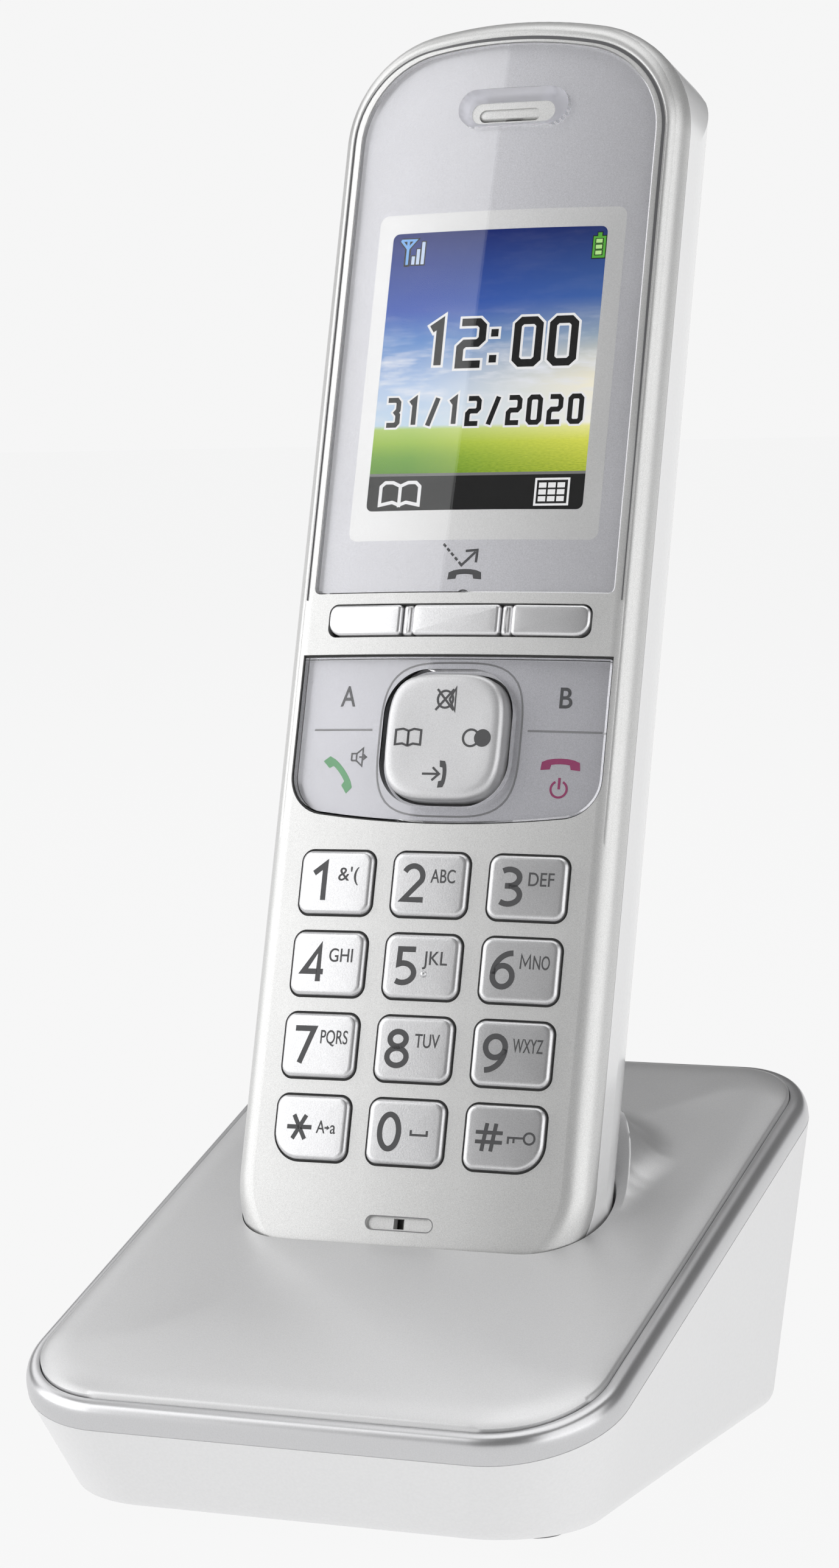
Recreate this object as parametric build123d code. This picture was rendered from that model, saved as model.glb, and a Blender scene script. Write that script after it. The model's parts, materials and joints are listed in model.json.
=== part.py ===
# Cordless telephone handset standing in its small charging base.
# Millimetres, +Z up, +Y towards the back, X across. The origin is on the surface that the
# base stands on, under the middle of the whole object.
# The handset is drawn lying flat: X across its face, Y along it towards the earpiece, and
# Z out of its face, with the "5" key's place on the face at 0, 0, 0. HANDSET stands it up.
from build123d import *
import os
from math import cos, radians, sin, sqrt, tan

# ---------------------------------------------------------------- handset, driving sizes
LEAN = 16.6                  # backward lean of the handset, degrees
KEY5_Y = -2.4                # where the middle of the face's "5" key stands
KEY5_Z = 57.6
HALF_WIDTH = 22.4
TOP_END = 117.4              # along the face, from the "5" key
BOTTOM_END = -39.0
END_CORNER = 14.0            # corner radius of both ends, seen on the face
TOP_ARCH = 60.0              # radius of the gentle arch across the top end
FACE_ACROSS = 205.0          # crown of the face across its width
SEAM_DEPTH = 4.4             # front cover's edge, below the face
SEAM_GAP = 0.1
EDGE_ROUND = 3.2             # front cover's outer edge
BACK_DEPTH = 19.6            # back of the rear cover, below the face
BACK_ROUND = 11.9            # rear cover's long edges
WALL = 1.5

KEY_PITCH_ACROSS = 12.21
KEY_PITCH_ALONG = 9.72
KEY_HOLE = (10.1, 8.1)
KEY_HOLE_CORNER = 1.6
KEY_SWEPT_CORNER = 3.6       # outer lower corner of the star and hash keys
KEY_GAP = 0.28
KEY_PROUD = 0.55
KEY_TRAVEL = 0.8
KEY_NAMES = (
    ("key_star", "key_0", "key_hash"),
    ("key_7", "key_8", "key_9"),
    ("key_4", "key_5", "key_6"),
    ("key_1", "key_2", "key_3"),
)

WINDOW_HALF = 19.4           # clear window over the display and earpiece
WINDOW_BOTTOM = 45.0
WINDOW_TOP = 113.9
WINDOW_CORNER = 11.2
WINDOW_THICK = 1.2
FIT_GAP = 0.12
SCREEN_MID = 72.9
SCREEN_VIEW = (28.0, 35.0)   # lit area of a 1.8 inch display
LCD_SIZE = (32.4, 41.4)
LCD_FRONT = 3.3
EARPIECE_AT = 105.0
EARPIECE_SLOT = (10.6, 2.9)
MIC_AT = -30.0
MIC_SLOT = (8.2, 1.7)

BAR_MID = 41.65              # row of three soft keys
BAR_SIZE = (34.0, 4.1)
SOFT_KEY_WIDE = 11.2
SOFT_WEB = 1.5
PLATE_HALF = 20.0            # clear plate with the call keys
PLATE_TOP = 37.5
PLATE_BOTTOM = 17.0
PLATE_GAP = 0.35
PLATE_CORNER = 5.0
PLATE_THICK = 1.5
NAV_MID = 27.4
NAV_SIZE = 15.8
NAV_CORNER = 5.2

# Layers under the keys, as depths below the flat face
FLANGE_DEPTH = (2.6, 3.1)
RUBBER_DEPTH = (4.3, 4.7)
DOME_DEPTH = (4.75, 4.9)
BOARD_DEPTH = (5.0, 6.0)
TRAY_DEPTH = (6.3, 7.0)

CELL_RADIUS = 5.15           # two AAA cells side by side
CELL_LENGTH = 44.0
CELL_BOTTOM = -4.0
CELL_MID_DEPTH = 12.5
CELL_ACROSS = 5.6
DOOR_THICK = 1.5
DOOR_HALF = 13.4
DOOR_BOTTOM = -9.0
DOOR_TOP = 46.0
DOOR_TRAVEL = 5.0

# ---------------------------------------------------------------- base, driving sizes
RING_HALF = 36.1             # outside of the trim ring, across
RING_FRONT = -43.9
RING_BACK = 38.6
RING_FRONT_Z = 10.4          # lower edge of the ring at the front
SLOPE = 18.9                 # slope of the ring and the top cover, degrees
RING_CORNERS = (13.5, 10.5)   # front and back corner radii
RING_HIGH = 3.2              # measured square to the slope
RING_LEDGE = 1.7             # from the ring's outside to the groove round the cover
FOOT_HIGH = 0.8
FLOOR_INSET = 4.6            # how far the housing's front and sides draw in towards its floor
FLOOR_BACK_INSET = 2.2
FLOOR_CORNERS = (12.0, 9.5)
HOUSING_WALL = 2.2
COVER_RISE = 4.9             # middle of the cover, above the ring's lower edge
COVER_CROWN = 800.0
COVER_THICK = 2.0
POCKET_GAP = 0.7
POCKET_WALL = 1.6
COLLAR_OFFSET = 3.2
CONTACT_ACROSS = 5.6
CONTACT_DEPTH = 9.5
JACK_X = 15.0
JACK_Z = 12.0
BUTTON_Z = 24.5
BUTTON_RADIUS = 4.0
BUTTON_TRAVEL = 0.8

HANDSET = Plane(
    origin=(0, KEY5_Y, KEY5_Z),
    x_dir=(1, 0, 0),
    z_dir=(0, -cos(radians(LEAN)), sin(radians(LEAN))),
)
RING_MID_Y = (RING_FRONT + RING_BACK) / 2
RING_HALF_LONG = (RING_BACK - RING_FRONT) / 2 / cos(radians(SLOPE))
RING_PLANE = Plane(
    origin=(0, RING_MID_Y, RING_FRONT_Z + (RING_MID_Y - RING_FRONT) * tan(radians(SLOPE))),
    x_dir=(1, 0, 0),
    z_dir=(0, -sin(radians(SLOPE)), cos(radians(SLOPE))),
)

os.makedirs("parts", exist_ok=True)


# ---------------------------------------------------------------- general helpers
def save(name, shape):
    """Write one node, as a plain compound of its solids."""
    solids = shape.solids()
    export_step(solids[0] if len(solids) == 1 else Compound(children=solids), f"parts/{name}.step")


def save_handset(name, shape):
    """Write one node that was drawn in the handset's own lying-flat axes."""
    save(name, HANDSET.location * shape)


def save_sloped(name, shape):
    """Write one node that was drawn on the base's sloping ring plane."""
    save(name, RING_PLANE.location * shape)


def slab(sketch, low, high):
    """A flat sketch given thickness from low to high along Z."""
    return extrude(Pos(0, 0, low) * sketch, high - low)


def block(x, y, z):
    """A box from its lowest and highest value on each axis."""
    middle = [(low + high) / 2 for low, high in (x, y, z)]
    return Pos(*middle) * Box(x[1] - x[0], y[1] - y[0], z[1] - z[0])


def edges_at(shape, axis, highest=True):
    """The edges of the face whose middle is furthest along an axis."""
    group = shape.faces().sort_by(axis)
    return (group[-1] if highest else group[0]).edges()


def rounded(width, height, radius):
    return RectangleRounded(width, height, radius)


# ---------------------------------------------------------------- handset shapes
def arched_outline(half, bottom, top, top_corner, bottom_corner, arch):
    """Flat-sided outline with an arched top and two sizes of corner."""
    arch_y = top - arch
    corner_x = half - top_corner
    reach = arch - top_corner
    corner_y = arch_y + sqrt(reach**2 - corner_x**2)
    meet = (corner_x * arch / reach, arch_y + (corner_y - arch_y) * arch / reach)
    start_angle_mid = (half - top_corner + top_corner * cos(radians(40)), corner_y + top_corner * sin(radians(40)))
    low = bottom_corner
    lines = [
        Line((-half + low, bottom), (half - low, bottom)),
        RadiusArc((half - low, bottom), (half, bottom + low), -low),
        Line((half, bottom + low), (half, corner_y)),
        ThreePointArc((half, corner_y), start_angle_mid, meet),
        ThreePointArc(meet, (0, top), (-meet[0], meet[1])),
        ThreePointArc((-meet[0], meet[1]), (-start_angle_mid[0], start_angle_mid[1]), (-half, corner_y)),
        Line((-half, corner_y), (-half, bottom + low)),
        RadiusArc((-half, bottom + low), (-half + low, bottom), -low),
    ]
    return make_face(Curve() + lines)


def handset_outline(inset=0.0):
    """The handset's outline on its face, drawn in from its edge by inset."""
    return arched_outline(
        HALF_WIDTH - inset,
        BOTTOM_END + inset,
        TOP_END - inset,
        END_CORNER - inset,
        END_CORNER - inset,
        TOP_ARCH - inset,
    )


def under_face(depth=0.0):
    """Everything under a surface that runs parallel to the crowned face, depth below it."""
    half = HALF_WIDTH + 6
    radius = FACE_ACROSS - depth
    side = sqrt(radius**2 - half**2) - FACE_ACROSS
    profile = Curve() + [
        ThreePointArc((-half, side), (0, -depth), (half, side)),
        Line((half, side), (half, -40)),
        Line((half, -40), (-half, -40)),
        Line((-half, -40), (-half, side)),
    ]
    return extrude(Plane.XZ * make_face(profile), 150, both=True)


def back_section(inset=0.0):
    """Cross-section prism of the rear cover, along the handset."""
    half = HALF_WIDTH - inset
    deep = BACK_DEPTH - inset
    radius = BACK_ROUND - inset
    section = Curve() + [
        Line((-half, 2), (half, 2)),
        Line((half, 2), (half, radius - deep)),
        RadiusArc((half, radius - deep), (half - radius, -deep), radius),
        Line((half - radius, -deep), (radius - half, -deep)),
        RadiusArc((radius - half, -deep), (-half, radius - deep), radius),
        Line((-half, radius - deep), (-half, 2)),
    ]
    return extrude(Plane.XZ * make_face(section), 130, both=True)


def back_profile(inset=0.0):
    """Side-view prism of the rear cover: thick at the keys, thinning to a rounded top end."""
    low = BOTTOM_END + inset
    top = TOP_END - inset
    deep = BACK_DEPTH - inset
    heel = 7.0
    crown = 8.5
    top_deep = BACK_DEPTH - 4.6 - inset
    profile = Curve() + [
        Line((low, 2), (low, heel - deep)),
        RadiusArc((low, heel - deep), (low + heel, -deep), -heel),
        Line((low + heel, -deep), (48, -deep)),
        ThreePointArc((48, -deep), (81, -deep + 1.15), (top - crown, -top_deep)),
        RadiusArc((top - crown, -top_deep), (top, crown - top_deep), -crown),
        Line((top, crown - top_deep), (top, 2)),
        Line((top, 2), (low, 2)),
    ]
    half = HALF_WIDTH + 5
    return extrude(Plane.YZ * make_face(profile), half, both=True)


def key_places():
    """Name and middle of every dialling key."""
    for row, names in enumerate(KEY_NAMES):
        for column, name in enumerate(names):
            yield name, (column - 1) * KEY_PITCH_ACROSS, (row - 2) * KEY_PITCH_ALONG


def key_outline(name, inset=0.0):
    """One dialling key's outline about its own middle."""
    width, height = KEY_HOLE[0] - 2 * inset, KEY_HOLE[1] - 2 * inset
    sketch = Rectangle(width, height)
    swept = {"key_star": -1, "key_hash": 1}.get(name, 0)
    corners = sketch.vertices()
    wide = [v for v in corners if swept and v.X * swept > 0 and v.Y < 0]
    plain = [v for v in corners if v not in wide]
    sketch = fillet(plain, KEY_HOLE_CORNER - inset)
    if wide:
        near = sketch.vertices().sort_by(lambda v: (v.X - wide[0].X) ** 2 + (v.Y - wide[0].Y) ** 2)[0]
        sketch = fillet(near, KEY_SWEPT_CORNER - inset)
    return sketch


def window_outline(inset=0.0):
    return arched_outline(
        WINDOW_HALF - inset,
        WINDOW_BOTTOM + inset,
        WINDOW_TOP - inset,
        WINDOW_CORNER - inset,
        0.8,
        TOP_ARCH - 3.5 - inset,
    )


def plate_outline(inset=0.0):
    """The call-key plate: straight top, sides and a gently arched lower edge."""
    half = PLATE_HALF - inset
    top = PLATE_TOP - inset
    low = PLATE_BOTTOM + inset
    corner = PLATE_CORNER - inset
    side = low + 1.6
    curve = Curve() + [
        Line((-half, top), (half, top)),
        Line((half, top), (half, side)),
        ThreePointArc((half, side), (0, low), (-half, side)),
        Line((-half, side), (-half, top)),
    ]
    sketch = make_face(curve)
    lower = sketch.vertices().sort_by(Axis.Y)[:2]
    return fillet(lower, corner)


def slot(size):
    return SlotOverall(size[0], size[1])


# ---------------------------------------------------------------- handset parts
def outline_edges(shape, outline, lowest):
    """Curved edges that run along an outline and lie above a height."""
    border = outline.wire()
    chosen = []
    for edge in shape.edges():
        middle = edge @ 0.5
        above = Vertex(middle.X, middle.Y, 0)
        if edge.geom_type != GeomType.LINE and middle.Z > lowest and border.distance_to(above) < 0.02:
            chosen.append(edge)
    return chosen


def make_front_cover():
    recess_floor = WINDOW_THICK + 0.1
    outer = slab(handset_outline(), -SEAM_DEPTH, 3) & under_face()
    outer -= slab(window_outline(), -20, 3) - under_face(recess_floor)
    outer = fillet(outline_edges(outer, handset_outline(), -3.5), EDGE_ROUND)
    cavity = slab(handset_outline(WALL), -SEAM_DEPTH - 1, 3) & under_face(WALL)
    cavity -= slab(window_outline(-2.3), -20, 3) - under_face(recess_floor + 1.2)
    shell = outer - cavity
    view = Pos(0, SCREEN_MID) * rounded(SCREEN_VIEW[0] + 2, SCREEN_VIEW[1] + 2, 1)
    openings = [
        view,
        Pos(0, EARPIECE_AT) * slot((8.0, 1.6)),
        Pos(0, BAR_MID) * rounded(*BAR_SIZE, 1.2),
        plate_outline(),
        Pos(0, MIC_AT) * Rectangle(1.3, 1.2),
    ]
    openings += [Pos(x, y) * key_outline(name) for name, x, y in key_places()]
    for opening in openings:
        shell -= slab(opening, -20, 3)
    return shell - slab(Pos(0, MIC_AT) * slot(MIC_SLOT), -0.4, 3)


def make_rear_cover():
    top_z = -SEAM_DEPTH - SEAM_GAP
    outer = slab(handset_outline(), -30, top_z) & back_section() & back_profile()
    inner = slab(handset_outline(WALL), -30, top_z + 1) & back_section(WALL) & back_profile(WALL)
    shell = outer - inner
    # battery bay: an open box let into the back, whose floor is the tray
    bay_half = CELL_ACROSS + CELL_RADIUS + 0.8
    bay_low = CELL_BOTTOM - 2.2
    bay_high = CELL_BOTTOM + CELL_LENGTH + 2.2
    bay_wall = 1.2
    walls = block(
        (-bay_half - bay_wall, bay_half + bay_wall),
        (bay_low - bay_wall, bay_high + bay_wall),
        (-BACK_DEPTH + DOOR_THICK + 0.2, -TRAY_DEPTH[0]),
    )
    shell += walls & slab(handset_outline(0.5), -30, 0) & back_section(0.5)
    shell -= block((-bay_half, bay_half), (bay_low, bay_high), (-30, -TRAY_DEPTH[1]))
    # seat for the battery door, carried on down to the bottom end so that the door can slide
    seat_deep = -BACK_DEPTH + DOOR_THICK + 0.1
    ledge = block((-DOOR_HALF, DOOR_HALF), (BOTTOM_END - 5, DOOR_TOP), (seat_deep - 0.0, seat_deep + 1.3))
    bay_hole = block((-bay_half, bay_half), (bay_low, bay_high), (-30, 0))
    shell += (ledge - bay_hole) & outer
    for x in (-CONTACT_ACROSS, CONTACT_ACROSS):
        shell -= block((x - 2.3, x + 2.3), (BOTTOM_END - 1, BOTTOM_END + 3), (-CONTACT_DEPTH - 1.7, -CONTACT_DEPTH + 1.7))
    door_way = Pos(0, (DOOR_TOP + BOTTOM_END) / 2 - 10) * rounded(
        2 * (DOOR_HALF + 0.15), DOOR_TOP - BOTTOM_END + 20.3, 4.0
    )
    shell -= slab(door_way, -30, seat_deep)
    return shell


def make_battery_door():
    plan = Pos(0, (DOOR_TOP + DOOR_BOTTOM) / 2) * rounded(2 * DOOR_HALF, DOOR_TOP - DOOR_BOTTOM, 3.9)
    door = slab(plan, -BACK_DEPTH, -BACK_DEPTH + DOOR_THICK)
    door &= back_section()
    door &= back_profile()
    for step in range(4):
        grip = Pos(0, DOOR_TOP - 6 - 1.6 * step) * slot((10 - step, 0.7))
        door -= slab(grip, -BACK_DEPTH - 1, -BACK_DEPTH + 0.4)
    return door


def make_window():
    plate = slab(window_outline(FIT_GAP), -20, 3) & under_face(0.1)
    plate -= under_face(0.1 + WINDOW_THICK - 0.05)
    plate -= slab(Pos(0, EARPIECE_AT) * slot(EARPIECE_SLOT), -20, 3)
    return plate


def make_dial_key(name, x, y):
    cap = slab(Pos(x, y) * key_outline(name, KEY_GAP), -FLANGE_DEPTH[0], 3) & under_face(-KEY_PROUD)
    crown_edges = cap.edges().filter_by(lambda e: e.center().Z > -1.2)
    cap = chamfer(crown_edges, 0.3)
    flange = slab(Pos(x, y) * key_outline(name, -0.45), -FLANGE_DEPTH[1], -FLANGE_DEPTH[0])
    return cap + flange


def make_soft_key(x, width):
    outline = Pos(x, BAR_MID) * rounded(width, BAR_SIZE[1] - 0.4, 0.9)
    key = slab(outline, -FLANGE_DEPTH[0], 3) & under_face(-0.35)
    crown_edges = key.edges().filter_by(lambda e: e.center().Z > -1.5)
    key = fillet(crown_edges, 0.25)
    flange = Pos(x, BAR_MID - 0.9) * Rectangle(width - 0.2, BAR_SIZE[1] - 0.4)
    return key + slab(flange, -FLANGE_DEPTH[1], -FLANGE_DEPTH[0])


def make_call_plate():
    plate = slab(plate_outline(PLATE_GAP), -20, 3) & under_face(0.05)
    plate -= under_face(0.05 + PLATE_THICK)
    plate -= slab(Pos(0, NAV_MID) * rounded(NAV_SIZE + 0.8, NAV_SIZE + 0.8, NAV_CORNER + 0.4), -20, 3)
    return plate


def make_nav_key():
    key = slab(Pos(0, NAV_MID) * rounded(NAV_SIZE, NAV_SIZE, NAV_CORNER), -2.0, 3) & under_face(-1.0)
    top = key.edges().filter_by(lambda e: e.center().Z > 0)
    return fillet(top, 0.6)


save_handset("handset_front_cover", make_front_cover())
save_handset("handset_rear_cover", make_rear_cover())
save_handset("battery_door", make_battery_door())
save_handset("display_window", make_window())

lcd_back = LCD_FRONT + 1.0
lcd_plan = Pos(0, SCREEN_MID) * Rectangle(*LCD_SIZE)
save_handset("lcd_panel", slab(lcd_plan, -lcd_back, -LCD_FRONT))
save_handset("lcd_backlight", slab(Pos(0, SCREEN_MID) * Rectangle(LCD_SIZE[0] - 0.6, LCD_SIZE[1] - 0.6), -4.9, -lcd_back - 0.05))
frame_outer = Pos(0, SCREEN_MID) * Rectangle(LCD_SIZE[0] + 2.4, LCD_SIZE[1] + 2.4)
frame_inner = Pos(0, SCREEN_MID) * Rectangle(LCD_SIZE[0] + 0.2, LCD_SIZE[1] + 0.2)
save_handset("lcd_frame", slab(frame_outer - frame_inner, -4.9, -3.45))

bar = slab(Pos(0, EARPIECE_AT) * slot((EARPIECE_SLOT[0] - 0.3, EARPIECE_SLOT[1] - 1.0)), -20, 3) & under_face(-0.15)
bar -= under_face(1.2)
save_handset("earpiece_bar", bar - slab(Pos(0, EARPIECE_AT - 0.9) * slot((2.6, 0.5)), -20, 3))
receiver = slab(Pos(0, EARPIECE_AT - 1.0) * Circle(6.5), -7.3, -4.9)
receiver += slab(Pos(0, EARPIECE_AT - 1.0) * Circle(4.5), -8.0, -7.3)
save_handset("earpiece_receiver", receiver)
gasket = Pos(0, EARPIECE_AT - 1.0) * (Circle(6.2) - Circle(4.6))
save_handset("earpiece_gasket", slab(gasket, -4.85, -4.25))

for name, x, y in key_places():
    save_handset(name, make_dial_key(name, x, y))
side_key = (BAR_SIZE[0] - 0.4 - SOFT_KEY_WIDE - 2 * SOFT_WEB) / 2
side_mid = SOFT_KEY_WIDE / 2 + SOFT_WEB + side_key / 2
save_handset("soft_key_left", make_soft_key(-side_mid, side_key))
save_handset("soft_key_middle", make_soft_key(0, SOFT_KEY_WIDE))
save_handset("soft_key_right", make_soft_key(side_mid, side_key))
web_at = (SOFT_KEY_WIDE + SOFT_WEB) / 2
webs = Sketch() + [Pos(side * web_at, BAR_MID) * Rectangle(SOFT_WEB - 0.6, BAR_SIZE[1] - 0.4) for side in (-1, 1)]
save_handset("soft_key_webs", slab(webs, -FLANGE_DEPTH[1], -0.75))

save_handset("call_key_plate", make_call_plate())
carrier = rounded(2 * PLATE_HALF - 6, PLATE_TOP - PLATE_BOTTOM - 5, 2) - rounded(9, 9, 2)
save_handset("call_plate_rocker", slab(Pos(0, NAV_MID) * carrier, -3.2, -2.75))
save_handset("navigator_key", make_nav_key())
save_handset("navigator_gimbal", slab(Pos(0, NAV_MID) * Circle(3.6), -3.2, -2.45))

rubber = handset_outline(3.2) & Pos(0, 4) * Rectangle(60, 80)
save_handset("keypad_rubber", slab(rubber, -RUBBER_DEPTH[1], -RUBBER_DEPTH[0]))
save_handset("dome_sheet", slab(handset_outline(3.6) & Pos(0, 4) * Rectangle(60, 79), -DOME_DEPTH[1], -DOME_DEPTH[0]))
board = handset_outline(2.6) & Pos(0, 28) * Rectangle(60, 131)
board -= [Pos(x, y) * Circle(1.6) for x in (-16.5, 16.5) for y in (-22, 48)]
save_handset("handset_circuit_board", slab(board, -BOARD_DEPTH[1], -BOARD_DEPTH[0]))
save_handset("handset_radio_shield", block((-13, 13), (52, 74), (-8.8, -BOARD_DEPTH[1])))
save_handset("handset_antenna", block((-14, 14), (80, 83), (-9.5, -BOARD_DEPTH[1])) - block((-12.8, 12.8), (79, 84), (-8.9, 0)))
save_handset("handsfree_speaker", slab(Pos(0, 101) * Circle(8.0), -13.0, -8.8))
save_handset("microphone", slab(Pos(0, MIC_AT) * Circle(2.4), -4.2, -2.4))
for side, name in ((-1, "battery_left"), (1, "battery_right")):
    cell = Cylinder(CELL_RADIUS, CELL_LENGTH - 1.0) + Pos(0, 0, CELL_LENGTH / 2) * Cylinder(1.9, 1.0)
    flip = 90 if side > 0 else -90
    place = Pos(side * CELL_ACROSS, CELL_BOTTOM + CELL_LENGTH / 2, -CELL_MID_DEPTH) * Rot(flip, 0, 0)
    save_handset(name, place * cell)
contact_ends = [
    block((x - 4.2, x + 4.2), ends, (-CELL_MID_DEPTH - 4.0, -CELL_MID_DEPTH + 4.0))
    for x in (-CELL_ACROSS, CELL_ACROSS)
    for ends in ((CELL_BOTTOM - 2.1, CELL_BOTTOM - 1.7), (CELL_BOTTOM + CELL_LENGTH + 1.7, CELL_BOTTOM + CELL_LENGTH + 2.1))
]
save_handset("battery_contacts", Compound(children=[piece.solid() for piece in contact_ends]))
tips = [
    block((x - 2.2, x + 2.2), (BOTTOM_END - 0.05, BOTTOM_END + WALL + 0.6), (-CONTACT_DEPTH - 1.6, -CONTACT_DEPTH + 1.6))
    for x in (-CONTACT_ACROSS, CONTACT_ACROSS)
]
save_handset("handset_charge_contacts", Compound(children=[tip.solid() for tip in tips]))


# ---------------------------------------------------------------- base shapes
def along(y):
    """Plane square to the handset's length: X across, and depth below the face as its Y."""
    return Plane(origin=(0, y, 0), x_dir=(1, 0, 0), z_dir=(0, 1, 0))


def tail_section(grow):
    """Cross-section of the handset's lower end, grown outwards, as X and depth."""
    width = 2 * (HALF_WIDTH + grow)
    deep = BACK_DEPTH + 2 * grow
    sketch = Pos(0, BACK_DEPTH / 2) * Rectangle(width, deep)
    back = sketch.vertices().filter_by(lambda v: v.Y > 0)
    sketch = fillet(back, BACK_ROUND + grow)
    face = sketch.vertices().filter_by(lambda v: v.Y < 1)
    return fillet(face, EDGE_ROUND + grow)


def tail_prism(grow, low, high):
    return extrude(along(low) * tail_section(grow), high - low)


def base_plan(half, front, back, corners):
    """Rounded oblong with its own corner radius at the front and at the back."""
    sketch = Pos(0, (front + back) / 2) * Rectangle(2 * half, back - front)
    middle = (front + back) / 2
    sketch = fillet(sketch.vertices().filter_by(lambda v: v.Y < middle), corners[0])
    return fillet(sketch.vertices().filter_by(lambda v: v.Y > back - 0.01), corners[1])


def ring_outline(inset):
    """Rounded outline of the base on its slope, drawn in from the trim ring's outside."""
    reach = RING_HALF_LONG - inset
    corners = [max(radius - inset, 2) for radius in RING_CORNERS]
    return base_plan(RING_HALF - inset, -reach, reach, corners)


def under_dome(depth):
    """Everything under the cover's domed top, lowered by depth, in slope axes."""
    return Pos(0, 0, COVER_RISE - COVER_CROWN) * Sphere(COVER_CROWN - depth)


def slope_height(y):
    """Height of the ring's lower edge above the table at a place from front to back."""
    return RING_FRONT_Z + (y - RING_FRONT) * tan(radians(SLOPE))


def housing_body(inset, floor_z, lift):
    """Walls drawn in by inset, from floor_z up to the ring plane and lift above it."""
    share = 1 - (floor_z - FOOT_HIGH) / slope_height(RING_FRONT)
    spread = FLOOR_INSET * share + inset
    back = RING_BACK - FLOOR_BACK_INSET * share - inset
    corners = [radius - inset for radius in FLOOR_CORNERS]
    floor = base_plan(RING_HALF - spread, RING_FRONT + spread, back, corners)
    return loft([Pos(0, 0, floor_z) * floor, RING_PLANE.offset(lift) * ring_outline(inset)], ruled=True)


POSTS = [(x, y) for x in (-27.5, 27.5) for y in (-21.0, 13.0)]
FEET = [(x, y) for x in (-24.5, 24.5) for y in (-30.0, 25.0)]
FOOT_RADIUS = 3.2
POCKET_FLOOR = BOTTOM_END - 0.6
POST_RADIUS = 3.0
SCREW_SEAT = 6.0
BOARD_Z = (5.0, 6.6)
JACK_FACE = 34.2              # mouths of the two jacks, just inside the back wall


def base_wall_y(z):
    """Outside of the housing's back wall at a height."""
    share = (z - FOOT_HIGH) / (slope_height(RING_BACK) - FOOT_HIGH)
    return RING_BACK - FLOOR_BACK_INSET * (1 - share)


def make_housing():
    outer = housing_body(0, FOOT_HIGH, 0)
    outer = fillet(edges_at(outer, Axis.Z, highest=False), 2.4)
    shell = outer - housing_body(HOUSING_WALL, FOOT_HIGH + HOUSING_WALL, 0.5)
    for x, y in POSTS:
        post = Pos(x, y) * slab(Circle(POST_RADIUS), FOOT_HIGH + 1, slope_height(y) - 1.2)
        shell += post & outer
        shell -= Pos(x, y) * slab(Circle(1.6), -1, 60)
        shell -= Pos(x, y) * slab(Circle(2.5), -1, SCREW_SEAT)
    for x, y in FEET:
        shell -= Pos(x, y) * slab(Circle(FOOT_RADIUS + 0.1), -1, FOOT_HIGH + 0.4)
    shell -= block((-JACK_X - 4.2, -JACK_X + 4.2), (JACK_FACE - 4, 45), (JACK_Z - 4.0, JACK_Z + 4.0))
    shell -= Pos(JACK_X, JACK_FACE, JACK_Z) * Rot(90, 0, 0) * Cylinder(4.2, 16)
    shell -= Pos(0, JACK_FACE, BUTTON_Z) * Rot(90, 0, 0) * Cylinder(BUTTON_RADIUS + 0.3, 16)
    for x in (-12, 12):
        for y in (-28, 12):
            peg = Pos(x, y) * slab(Circle(2.2), FOOT_HIGH + 1, BOARD_Z[0])
            shell += peg
    return shell


def make_ring():
    ring = slab(ring_outline(0), 0, RING_HIGH)
    ring = fillet(edges_at(ring, Axis.Z), 1.65)
    ring = fillet(edges_at(ring, Axis.Z, highest=False), 0.5)
    ring -= slab(ring_outline(RING_LEDGE), 1.4, 9)
    return ring - slab(ring_outline(4.6), -1, 9)


def make_top_cover():
    """Domed cover, with the pocket's cup hanging under it and the collar behind the pocket."""
    edge = RING_LEDGE + 0.35
    plate = slab(ring_outline(edge), 1.45, 12) & under_dome(0)
    plate = fillet(edges_at(plate, Axis.Z), 1.5)
    plate -= slab(ring_outline(edge + COVER_THICK), 0, 12) & under_dome(COVER_THICK)
    cover = RING_PLANE.location * plate
    lid = RING_PLANE.location * (slab(ring_outline(edge + COVER_THICK), -50, 12) & under_dome(0.5))

    cup = HANDSET.location * tail_prism(POCKET_GAP + POCKET_WALL, POCKET_FLOOR - POCKET_WALL, 20)
    cover += cup & lid
    reach = 30
    rim = Curve() + [
        Line((-60, -8), (-31.9, -8)),
        Line((-31.9, -8), (-4.0, -reach)),
        Line((-4.0, -reach), (-60, -reach)),
        Line((-60, -reach), (-60, -8)),
    ]
    below_rim = extrude(Plane.YZ * make_face(rim), 40, both=True)
    collar = tail_prism(COLLAR_OFFSET, -40, 0) & below_rim
    cover += HANDSET.location * collar & RING_PLANE.location * slab(ring_outline(edge + 2.5), 4.0, 60)
    for x, y in POSTS:
        boss = Pos(x, y) * slab(Circle(POST_RADIUS), slope_height(y) - 1.0, 60)
        cover += boss & lid
        cover -= Pos(x, y) * slab(Circle(1.35), 0, slope_height(y) + 4.5)
    scoop = extrude(along(-27) * tail_section(POCKET_GAP), 30, taper=-6)
    pocket = tail_prism(POCKET_GAP, POCKET_FLOOR, 30) + scoop
    for x in (-CONTACT_ACROSS, CONTACT_ACROSS):
        pocket += block(
            (x - 2.6, x + 2.6),
            (POCKET_FLOOR - 5, POCKET_FLOOR + 1),
            (-CONTACT_DEPTH - 1.9, -CONTACT_DEPTH + 1.9),
        )
    return cover - HANDSET.location * pocket


save("base_housing", make_housing())
save_sloped("base_trim_ring", make_ring())
save("base_top_cover", make_top_cover())

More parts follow.
